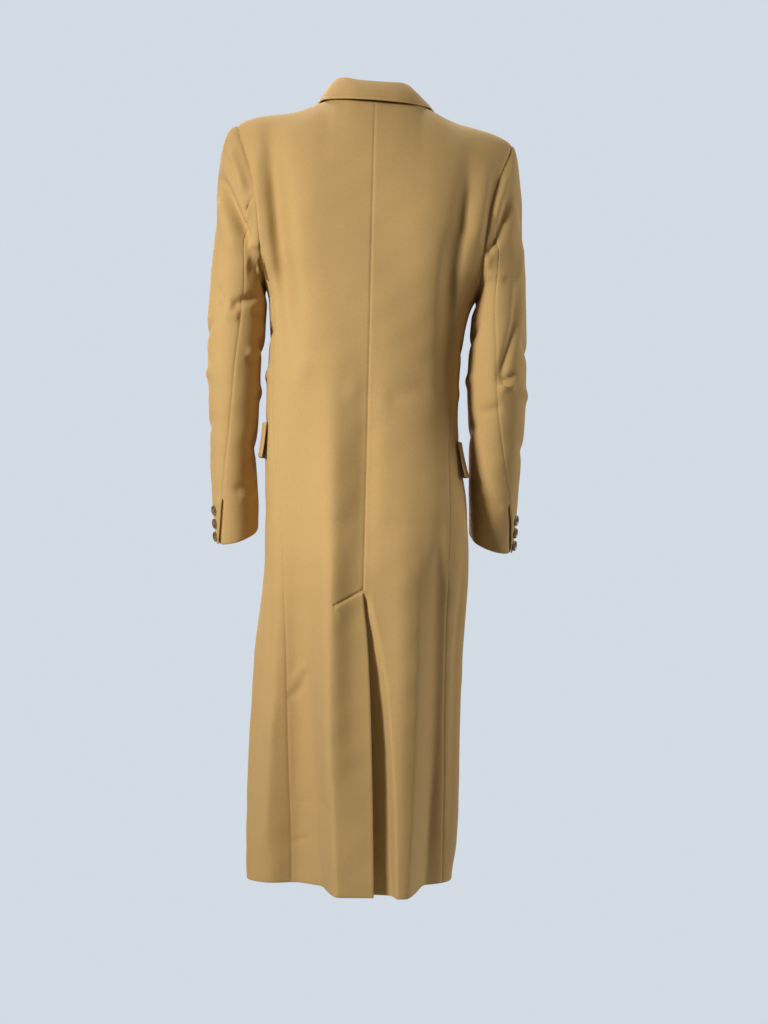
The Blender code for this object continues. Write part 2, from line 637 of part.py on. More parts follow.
def flap_grid(side):
    """A pocket flap: rows from its top down, columns from its back end forward."""
    share = np.linspace(0.0, 1.0, FLAP_COLUMNS + 1)
    grid = []
    for k in range(FLAP_ROWS + 1):
        down = k / FLAP_ROWS
        turn = FLAP_FROM + (FLAP_TO - FLAP_FROM) * share
        z = np.full(share.shape, FLAP_TOP + FLAP_SKEW * side - FLAP_TALL * down)
        here = side_surface(turn, z, side)
        along = np.gradient(here, axis=0)
        outward = np.cross(along, (0.0, 0.0, -side))
        outward /= np.linalg.norm(outward, axis=1)[:, None]
        grid.append(here + outward * (CLOTH + FLAP_GAP + FLAP_FLARE * down ** 1.5))
    return np.stack(grid)


def collar_profile(foot, crest, edge, outward):
    """Seven points across the collar: up its stand, over its crest and down its fall."""
    up = np.array((0.0, 0.0, 1.0))
    inner_crest = crest - outward * 0.0040 - up * 0.0030
    outer_crest = crest + outward * 0.0050 - up * 0.0035
    fall = (outer_crest + edge) / 2 + outward * 0.0020 + up * 0.0010
    return [foot, (foot + inner_crest) / 2, inner_crest, crest, outer_crest, fall, edge]


def collar_half(word):
    """Profiles of half of the collar, from its end round to the centre back, on the left side."""
    profiles = []
    for crest_out, crest_z, mid_out, mid_z, edge_out, edge_z in COLLAR_ENDS[::-1]:
        outs = (crest_out - 0.0050, crest_out - 0.0055, crest_out - 0.0035, crest_out,
                crest_out + 0.0070, mid_out, edge_out)
        drop = (mid_z - crest_z) * 0.0070 / (mid_out - crest_out)
        heights = (crest_z, crest_z, crest_z, crest_z, crest_z + drop, mid_z, edge_z)
        near_neck = fade((crest_z + 0.050) / 0.030)
        lifts = np.array((-0.0010, 0.0030, 0.0070, 0.0095, 0.0080, 0.0040, 0.0034))
        lifts[4:] += 0.0040 * near_neck
        profiles.append(list(front_place(outs, heights, 1, lifts)))
    step = math.radians(2)
    for angle, crest_in, crest_up, edge_out, edge_up in COLLAR[word][::-1]:
        turn = math.radians(angle)
        here = body_surface(*neck_place(turn), "back")
        ahead = body_surface(*neck_place(turn + step), "back")
        behind = body_surface(*neck_place(max(turn - step, 0.0)), "back")
        outward = np.cross(ahead - behind, (0.0, 0.0, -1.0))
        outward[0] = 0.0 if angle == 0 else outward[0]
        outward /= np.linalg.norm(outward)
        foot = here - outward * (2 * CLOTH + STAND_GAP)
        crest = foot - outward * crest_in + np.array((0.0, 0.0, crest_up))
        edge = foot + outward * edge_out + np.array((0.0, 0.0, edge_up))
        profiles.append(collar_profile(foot, crest, edge, outward))
    return np.array(profiles)


def collar_grid():
    """The whole collar: rows along it from left to right, columns across it from its foot."""
    left = collar_half("left")
    right = collar_half("right")[::-1][1:] * np.array((-1.0, 1.0, 1.0))
    rough = np.concatenate([left, right])
    marks = np.arange(len(rough))
    fine = np.linspace(0, len(rough) - 1, 2 * len(rough) - 1)
    lines = [[smooth_curve(marks, rough[:, p, k])(fine) for k in range(3)]
             for p in range(rough.shape[1])]
    return np.array(lines).transpose(2, 0, 1)


# ---------------------------------------------------------------- buttons and materials
def button(name, centre, axis, radius, corners, material):
    """A dished round button, its back against the cloth."""
    axis = axis / np.linalg.norm(axis)
    across = np.cross(axis, (0.0, 0.0, 1.0))
    across /= np.linalg.norm(across)
    upward = np.cross(across, axis)
    points, rings = [], []
    for share, rise in BUTTON_PROFILE:
        level = centre + axis * rise * BUTTON_THICK * radius
        if share == 0.0:
            rings.append([len(points)])
            points.append(level)
            continue
        rings.append(list(range(len(points), len(points) + corners)))
        for k in range(corners):
            angle = 2 * math.pi * k / corners
            points.append(level + radius * share * (across * math.cos(angle)
                                                    + upward * math.sin(angle)))
    faces = []
    for low, high in zip(rings[:-1], rings[1:]):
        for k in range(corners):
            after = (k + 1) % corners
            if len(low) == 1:
                faces.append([low[0], high[k], high[after]])
            elif len(high) == 1:
                faces.append([low[k], high[0], low[after]])
            else:
                faces.append([low[k], high[k], high[after], low[after]])
    thing = new_object(name, points, faces, material)
    mesh = bmesh.new()
    mesh.from_mesh(thing.data)
    bmesh.ops.recalc_face_normals(mesh, faces=mesh.faces)
    mesh.to_mesh(thing.data)
    mesh.free()
    return thing


def principled(name, colour, roughness, metallic=0.0):
    """A material with the piece's colour, roughness and metallic value."""
    material = bpy.data.materials.new(name)
    material.use_nodes = True
    shader = material.node_tree.nodes["Principled BSDF"]
    shader.inputs["Base Color"].default_value = (*colour, 1.0)
    shader.inputs["Roughness"].default_value = roughness
    shader.inputs["Metallic"].default_value = metallic
    return material


# ---------------------------------------------------------------- the coat
def body_and_sleeves():
    """Grids of the sewn body and sleeves by name, each with its cells and which way it faces."""
    pieces = {}
    for side, word in ((1, "left"), (-1, "right")):
        back, back_cells = back_grid(side)
        front = front_grid(side)
        flank = side_grid(side)
        loop = armhole_loop(back, flank, front)
        sleeve = posed(sleeve_grid(loop, side), "sleeve")
        sleeve[0] = posed(sleeve_start(loop))
        split = 2 * HIGH_ROWS - HINDARM
        outward = {"back": (0, 1, 0), "front": (0, -1, 0), "side": (side, 0, 0),
                   "sleeve": (side, 0, 0), "under": (-side, 0, 0)}
        for name, grid, cells, out in (
                ("back_" + word, posed(back), back_cells, "back"),
                ("front_" + word, posed(front), None, "front"),
                ("side_" + word, posed(flank), None, "side"),
                ("sleeve_top_" + word, sleeve[:, :split + 1], None, "sleeve"),
                ("sleeve_under_" + word, sleeve[:, split:], None, "under")):
            if cells is None:
                cells = np.ones((grid.shape[0] - 1, grid.shape[1] - 1), bool)
            pieces[name] = (grid, cells, facing(grid, outward[out]))
    return pieces


def laid_on():
    """Grids of the pieces that lie on the body, by name."""
    pieces = {}
    for side, word in ((1, "left"), (-1, "right")):
        for name, grid, outward in (("lapel_" + word, posed(lapel_grid(side)), (0, -1, 0)),
                                    ("flap_" + word, posed(flap_grid(side)), (side, 0, 0))):
            pieces[name] = (grid, np.ones((grid.shape[0] - 1, grid.shape[1] - 1), bool),
                            facing(grid, outward))
    collar = posed(collar_grid())
    middle_fall = collar[:, -3:]
    pieces["collar"] = (collar, np.ones((collar.shape[0] - 1, collar.shape[1] - 1), bool),
                        facing(middle_fall, (0, 1, 0)))
    return pieces


def add_buttons(material):
    """Three buttons down the front's lap and three on each cuff."""
    for k, height in enumerate(FRONT_BUTTONS):
        centre = front_place(0.0, height, -1, BUTTON_GAP)
        button(f"front_button_{k + 1}", posed(centre), np.array((0.0, -1.0, 0.0)),
               FRONT_BUTTON, 16, material)
    for side, word in ((1, "left"), (-1, "right")):
        for k, height in enumerate(CUFF_BUTTONS):
            here = arm_ring(CUFF_BUTTON_TURN[word], height, side)
            ahead = arm_ring(CUFF_BUTTON_TURN[word] + 0.1, height, side)
            above = arm_ring(CUFF_BUTTON_TURN[word], height + 0.01, side)
            axis = np.cross(ahead - here, above - here) * -side
            axis /= np.linalg.norm(axis)
            lift = 0.0005 + 0.3 * CUFF_BUTTON_TILT * CUFF_BUTTON
            centre = posed(here + axis * lift, "sleeve")
            tipped = axis + np.array((0.0, CUFF_BUTTON_TILT, 0.0))
            button(f"cuff_button_{word}_{k + 1}", centre, tipped, CUFF_BUTTON, 12, material)


def main():
    for thing in list(bpy.data.objects):
        bpy.data.objects.remove(thing)
    wool = principled("camel wool", (0.50, 0.31, 0.13), 0.90)
    horn = principled("brown horn", (0.11, 0.055, 0.025), 0.35)
    sewn = body_and_sleeves()
    normals = {}
    for grid, cells, way in sewn.values():
        add_normals(normals, grid, cells, way)
    for name, (grid, cells, way) in sewn.items():
        cloth_wall(name, grid, cells, way, normals, wool)
    for name, (grid, cells, way) in laid_on().items():
        own = {}
        add_normals(own, grid, cells, way)
        cloth_wall(name, grid, cells, way, own, wool)
    add_buttons(horn)


main()
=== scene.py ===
import functools
import math
from types import SimpleNamespace

import bmesh
import bpy
import numpy as np
from bpy.props import FloatProperty, FloatVectorProperty, IntProperty, PointerProperty
from mathutils import Matrix, Vector


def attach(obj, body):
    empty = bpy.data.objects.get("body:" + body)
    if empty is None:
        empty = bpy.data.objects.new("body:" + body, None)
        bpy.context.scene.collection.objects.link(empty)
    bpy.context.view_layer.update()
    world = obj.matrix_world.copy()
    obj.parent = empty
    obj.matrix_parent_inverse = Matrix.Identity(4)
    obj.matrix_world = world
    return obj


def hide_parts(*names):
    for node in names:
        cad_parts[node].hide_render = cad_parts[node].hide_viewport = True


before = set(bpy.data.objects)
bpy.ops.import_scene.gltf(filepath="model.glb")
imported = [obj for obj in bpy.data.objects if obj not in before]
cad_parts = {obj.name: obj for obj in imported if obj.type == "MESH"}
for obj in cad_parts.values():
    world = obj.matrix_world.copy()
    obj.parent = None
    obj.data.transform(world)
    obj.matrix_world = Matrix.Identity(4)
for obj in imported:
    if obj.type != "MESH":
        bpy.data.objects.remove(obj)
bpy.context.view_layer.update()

bl_info = {
    "name": "Camel Wool Overcoat",
    "version": (1, 0, 0),
    "blender": (4, 5, 0),
    "location": "View3D > Sidebar > Overcoat",
    "description": "Dresses the overcoat's solids in wool cloth, with seams, stitches and buttons",
    "category": "Object",
}

# ---------------------------------------------------------------- driving sizes, in metres
SEAM_GAP = 0.00003        # clearance between two pieces sewn edge to edge
STAND_GAP = 0.0035        # clearance between the collar stand and the neck edge
STAND_TURNED_IN = 0.0060  # how far the collar's stand reaches down inside the neck edge
LAY_GAP = 0.0006          # clearance under a piece that lies on another
LAPEL_GAP = 0.0010
FLAP_GAP = 0.0013
BUTTON_GAP = 0.0018
CLOTH = 0.0025            # thickness of the wool
EDGE_REACH = 0.0011       # how far in a free edge of the cloth is rounded
HEM = -1.155
ARMHOLE_SPLIT = -0.235    # height where the side seams reach the armhole
ARMPIT = -0.275
SHOULDER_TIP = -0.039
TIP_OUT = 0.206
NECK_OUT = 0.070
NECK_BACK = -0.004
SIDE_Y = -0.005           # where the back's half of the form meets the front's
SQUARENESS = 2.3          # of the form seen from above, 2 for an ellipse
TAPER_FROM = -0.200       # height from which the form closes towards the shoulder line
TAPER_POWER = 2.2
CENTRE_LAP = 0.025        # how far each front passes the middle
ROLL_CORNER = -0.090
VENT_TOP = -0.716
VENT_UNDERLAP = 0.045
VENT_DEPTH = (0.0055, 0.0240)    # how deep the underlap lies, at the vent's top and lower down
VENT_DEPTH_EASE = 0.25
VENT_OPENS = 0.020        # how far below its top the vent has opened
VENT_ROLL = 0.012         # how far from its fold the right panel starts to turn in
LAPEL_ROLL = 0.0030       # how far the lapel's soft fold stands up, and how wide it is
LAPEL_ROLL_WIDE = 0.007
FLAP_TOP = -0.486
FLAP_TALL = 0.052
FLAP_SKEW = 0.005         # how far the left flap sits above, and the right one below, that
FLAP_FROM = math.radians(72)
FLAP_TO = math.radians(150)
FLAP_FLARE = 0.0060
CUFF_VENT_TOP = -0.585    # height where the sleeve's hindarm seam opens at the cuff
CUFF_UNDERLAP = 0.016
CUFF_LAP_GAP = 0.0012     # room between the cuff's underlap and the cloth over it
CUFF_LIFT = 0.0016        # how far the upper edge of a cuff's vent stands off
CUFF_EASE = 0.012         # how far below its top a cuff's vent is open, and how wide it lifts
CUFF_SINK = 0.006         # how far from the seam the under sleeve sinks below the top one
FRONT_BUTTON = 0.0125
CUFF_BUTTON = 0.0078
STITCH_LONG = 0.0019
STITCH_THICK = 0.00042
FLOOR = -1.620
FLOOR_RADIUS = 0.85
FLOOR_THICK = 0.04

# A button, as shares of its radius: its thickness, its four holes, and the insets of its dished
# face, each with how far it rises.
BUTTON_THICKNESS = 0.22
BUTTON_HOLE = 0.075
BUTTON_HOLE_OUT = 0.20
BUTTON_DISH = ((0.10, 0.04), (0.14, 0.02), (0.10, -0.10), (0.16, -0.03))

# Places in the coarse pattern: columns of a back or front that end at the neck, rows up the back
# armhole where the hindarm seam starts, and so on.
PATTERN_COLUMNS = 9
PATTERN_NECK = 4
PATTERN_HIGH = 8
PATTERN_HINDARM = 3
PATTERN_SIDE = 5
NECK_SHARE = PATTERN_NECK / PATTERN_COLUMNS    # how much of a half's width ends at the neck
SIDES = ((1, "left"), (-1, "right"))

# Typical measures of the pieces, from which the number of their rows and columns follows, and the
# places that need closer points: by every edge, below the vent's top and beside the vent.
TYPICAL = {
    "neck": 0.075, "shoulder": 0.095, "half": 0.117, "armhole": 0.225, "side": 0.140,
    "cap": 0.200, "lapel": (0.230, 0.075), "flap": 0.190, "collar": (0.420, 0.075),
}
EDGE_MARKS = (0.0009, 0.0021)
VENT_ROWS = 22
VENT_ROWS_TALL = 0.034
VENT_COLUMN = 0.0018
VENT_COLUMNS_WIDE = {1: 0.046, -1: 0.012}

SIDE_DIP_FROM = -0.420    # height where a side body's rows start to dip towards the armpit
LAP_OUT = -0.070          # where the right front starts to stand forward, and how soon it is out
LAP_OUT_EASE = 0.035
LAP_TOP = -0.225
LAP_TOP_EASE = 0.040
CAP_STEP = 0.026          # how far below a cap its end's direction is taken
# The way in which a cap leaves the armhole: outward, the more so over the shoulder's end, round
# towards the back or front, and down. Then the pulls at its ends, as shares of its length.
CAP_OUT = (0.80, 0.20)
CAP_ROUND = 0.30
CAP_DOWN = 1.02
CAP_PULL = 0.9
CAP_END_PULL = (1.0, 0.6)
PICK_INSET = 0.0062       # distance of the pick stitches from the edge of the collar and lapels
FLAP_PICK_INSET = 0.0055

# The camera and the lights. A light's spread is the angle of its cone, 180 for an open one.
CAMERA_PLACE = (-0.027, 2.8, -0.604)
CAMERA_ROLL = math.radians(1.35)
SENSOR_TALL = 36.0        # in millimetres, as is the focal length
FOCAL_LENGTH = 65.6
ROOM_COLOUR = (1.0, 0.95, 0.86, 1.0)
ROOM_STRENGTH = 0.14
LIGHT_COLUMNS = ("name", "place", "aim", "size", "spread", "power")
LIGHTS = (
    ("key", (1.86, 1.85, 0.25), (0.0, 0.05, -0.53), 0.5, 66, 11.6),
    ("edge", (-2.50, -0.40, 0.30), (0.0, 0.0, -0.50), 1.2, 180, 36.0),
    ("top", (0.30, -1.00, 1.50), (0.0, 0.0, -0.05), 0.9, 180, 34.0),
    ("front", (1.20, -2.60, 0.60), (0.0, 0.0, -0.55), 1.4, 120, 34.0),
)

BODY_COLUMNS = ("height", "left", "right", "back", "front")
BODY = (
    (0.010, 0.208, 0.208, 0.113, 0.078),
    (-0.042, 0.2085, 0.2085, 0.119, 0.092),
    (-0.100, 0.2085, 0.2085, 0.122, 0.110),
    (-0.150, 0.206, 0.206, 0.123, 0.122),
    (-0.200, 0.198, 0.198, 0.123, 0.129),
    (-0.235, 0.184, 0.184, 0.122, 0.131),
    (-0.275, 0.1590, 0.1580, 0.119, 0.130),
    (-0.300, 0.1525, 0.1480, 0.117, 0.128),
    (-0.340, 0.1510, 0.1410, 0.112, 0.123),
    (-0.390, 0.1530, 0.1360, 0.106, 0.117),
    (-0.440, 0.1550, 0.1345, 0.103, 0.113),
    (-0.530, 0.1545, 0.1425, 0.107, 0.117),
    (-0.575, 0.1525, 0.1500, 0.113, 0.122),
    (-0.620, 0.1505, 0.1525, 0.121, 0.127),
    (-0.680, 0.1500, 0.1545, 0.128, 0.131),
    (-0.740, 0.1525, 0.1530, 0.120, 0.134),
    (-0.800, 0.1550, 0.1500, 0.110, 0.137),
    (-0.950, 0.1615, 0.1490, 0.090, 0.143),
    (-1.070, 0.1632, 0.1490, 0.074, 0.149),
    (-1.160, 0.1648, 0.1400, 0.066, 0.154),
)
RIDGE_COLUMNS = ("out", "height")
RIDGE = (
    (0.000, 0.045), (0.030, 0.040), (0.055, 0.022), (0.070, 0.008), (0.087, 0.000),
    (0.098, -0.0055), (0.113, -0.0115), (0.128, -0.0155), (0.150, -0.0190),
    (0.170, -0.0232), (0.190, -0.0292), (0.200, -0.0342), (0.206, -0.0390), (0.209, -0.0430),
)
SEAM_COLUMNS = ("height", "left", "right", "front", "vent_edge", "vent_fold")
SEAMS = (
    (-0.235, 0.1630, 0.1630, 0.1500, 0.0, 0.0),
    (-0.290, 0.1490, 0.1430, 0.1320, 0.0, 0.0),
    (-0.340, 0.1440, 0.1300, 0.1260, 0.0, 0.0),
    (-0.440, 0.1430, 0.1220, 0.1200, 0.0, 0.0),
    (-0.510, 0.1400, 0.1215, 0.1220, 0.0, 0.0),
    (-0.600, 0.1270, 0.1235, 0.1260, 0.0, 0.0),
    (-0.716, 0.1172, 0.1230, 0.1283, 0.0, 0.0),
    (-0.742, 0.1160, 0.1222, 0.1286, -0.0022, -0.0048),
    (-0.780, 0.1135, 0.1220, 0.1290, -0.0070, -0.0130),
    (-0.860, 0.1100, 0.1220, 0.1300, -0.0130, -0.0275),
    (-0.980, 0.1050, 0.1235, 0.1310, -0.0190, -0.0390),
    (-1.070, 0.1000, 0.1250, 0.1315, -0.0225, -0.0445),
    (-1.160, 0.0970, 0.1260, 0.1320, -0.0255, -0.0485),
)
ARMHOLE_COLUMNS = ("height", "back_out", "front_out")
ARMHOLE = (
    (ARMHOLE_SPLIT, 0.1630, 0.1500), (-0.200, 0.1660, 0.1490), (-0.160, 0.1710, 0.1540),
    (-0.120, 0.1800, 0.1660), (-0.080, 0.1930, 0.1840), (-0.058, 0.2010, 0.1970),
    (SHOULDER_TIP, 0.2060, 0.2060),
)
FRONT_EDGE_COLUMNS = ("height", "out")
FRONT_EDGE = (
    (HEM, -CENTRE_LAP), (-0.360, -CENTRE_LAP), (-0.330, -0.0190), (-0.300, -0.0060),
    (-0.235, 0.0180), (-0.120, 0.0480), (-0.050, 0.0630), (0.000, 0.0692), (0.008, NECK_OUT),
)
BULGE_COLUMNS = ("height", "left", "right", "slope", "depth")
BULGE = (
    (-0.620, 0.063, -0.096, 0.024, 0.000), (-0.740, 0.065, -0.096, 0.020, 0.018),
    (-0.900, 0.060, -0.096, 0.018, 0.042), (-1.050, 0.048, -0.092, 0.016, 0.064),
    (-1.160, 0.041, -0.087, 0.015, 0.082),
)
FOLD_COLUMNS = ("face", "out_top", "out_low", "width", "top", "low", "depth", "open")
FOLDS = (
    ("back", 0.100, 0.100, 0.046, 0.100, -0.500, 0.008, False),
    ("back", -0.095, -0.095, 0.040, 0.100, -0.480, 0.008, False),
    ("back", 0.053, 0.042, 0.024, -0.360, -1.050, 0.017, False),
    ("back", 0.000, 0.000, 0.017, -0.360, -0.760, -0.006, False),
    ("back", -0.058, -0.068, 0.027, -0.380, -1.160, 0.013, True),
    ("back", 0.104, 0.090, 0.029, -0.420, -1.000, -0.022, True),
    ("back", 0.160, 0.109, 0.015, 0.010, -0.420, -0.027, False),
    ("back", -0.144, -0.116, 0.013, -0.040, -0.310, -0.012, False),
    ("back", -0.113, -0.114, 0.011, -0.180, -0.440, -0.012, False),
    ("front", 0.086, 0.078, 0.022, -0.520, -1.160, 0.016, True),
    ("front", -0.080, -0.090, 0.024, -0.500, -1.160, 0.018, True),
    ("front", 0.045, 0.040, 0.018, -0.600, -1.160, -0.008, True),
    ("front", -0.050, -0.046, 0.016, -0.640, -1.160, -0.009, True),
)
TILT_COLUMNS = ("height", "body", "sleeve")
TILT = (
    (0.050, 0.048, 0.048), (-0.290, 0.046, 0.046), (-0.520, 0.042, 0.024),
    (-0.660, 0.030, 0.010), (-0.850, 0.000, 0.000), (-1.160, -0.018, 0.000),
)
ARM_COLUMNS = ("height", "left", "left_half", "right", "right_half", "depth_mid",
               "depth_half", "pitch", "slant")
ARM = (
    (-0.305, 0.1990, 0.0425, 0.1920, 0.0415, 0.000, 0.0600, 0, 0.00),
    (-0.345, 0.1995, 0.0430, 0.1915, 0.0435, 0.002, 0.0590, 2, 0.00),
    (-0.400, 0.2015, 0.0400, 0.1910, 0.0440, -0.001, 0.0565, 6, 0.00),
    (-0.470, 0.2020, 0.0378, 0.1925, 0.0415, -0.014, 0.0540, 12, 0.00),
    (-0.530, 0.2036, 0.0340, 0.1920, 0.0385, -0.028, 0.0525, 14, 0.05),
    (-0.590, 0.2003, 0.0343, 0.1920, 0.0370, -0.043, 0.0520, 15, 0.15),
    (-0.645, 0.1975, 0.0338, 0.1915, 0.0355, -0.057, 0.0515, 15, 0.25),
)
CAP_FLATNESS = {"left": 0.56, "right": 0.76}    # of the sleeve's cap, over the shoulder's end
ARM_SEAM_COLUMNS = ("height", "hindarm_left", "hindarm_right", "front")
ARM_SEAMS = (
    (-0.305, -16, -12, 216), (-0.350, -10, -7, 216), (-0.440, 0, 1, 214),
    (-0.530, 13, 26, 214), (-0.600, 30, 46, 215), (-0.645, 43, 56, 216),
)
COLLAR_COLUMNS = ("angle", "crest_in", "crest_up", "edge_out", "edge_up")
COLLAR = {
    "left": (
        (0, 0.0100, 0.0345, 0.0180, 0.0015), (22, 0.0095, 0.0345, 0.0180, 0.0010),
        (45, 0.0070, 0.0340, 0.0180, -0.0010), (68, 0.0025, 0.0320, 0.0185, -0.0025),
        (86, -0.0010, 0.0270, 0.0210, -0.0010)),
    "right": (
        (0, 0.0100, 0.0345, 0.0180, 0.0015), (22, 0.0100, 0.0345, 0.0180, 0.0010),
        (45, 0.0095, 0.0330, 0.0180, -0.0010), (68, 0.0085, 0.0285, 0.0190, -0.0025),
        (86, 0.0070, 0.0225, 0.0225, -0.0010)),
}
COLLAR_END_COLUMNS = ("crest_out", "crest_height", "middle_out", "middle_height",
                      "edge_out", "edge_height")
COLLAR_ENDS = (
    (0.0655, -0.0160, 0.0860, -0.0200, 0.1050, -0.0200),
    (0.0632, -0.0360, 0.0900, -0.0430, 0.1120, -0.0350),
    (0.0608, -0.0560, 0.0980, -0.0690, 0.1170, -0.0490),
)
# Across the collar's ends: how far inside the crest its stand's points lie, how far beyond it the
# fall has turned over, how high all seven points lie over the front, and how much more the outer
# ones do near the neck.
COLLAR_END_INSETS = (0.0050, 0.0055, 0.0035, 0.0)
COLLAR_END_TURN = 0.0070
COLLAR_END_LIFTS = (-0.0010, 0.0030, 0.0070, 0.0095, 0.0080, 0.0040, 0.0034)
COLLAR_END_RISE = 0.0040
LAPEL_COLUMNS = ("roll_out", "roll_height", "edge_out", "edge_height")
LAPEL = (
    (0.0040, -0.2730, 0.0090, -0.2770), (0.0120, -0.2540, 0.0330, -0.2600),
    (0.0215, -0.2270, 0.0600, -0.2360), (0.0310, -0.1930, 0.0850, -0.2010),
    (0.0405, -0.1560, 0.1080, -0.1600), (0.0490, -0.1210, 0.1240, -0.1200),
    (0.0560, -0.0890, 0.1340, -0.0860), (0.0608, -0.0568, 0.0980, -0.0698),
)
FRONT_BUTTONS = (-0.325, -0.440, -0.555)
CUFF_BUTTONS = (-0.598, -0.6165, -0.635)
CUFF_BUTTON_TURN = {"left": math.radians(53), "right": math.radians(66)}
CUFF_BUTTON_TILT = 0.20   # how far a cuff button tips towards the back on its shank

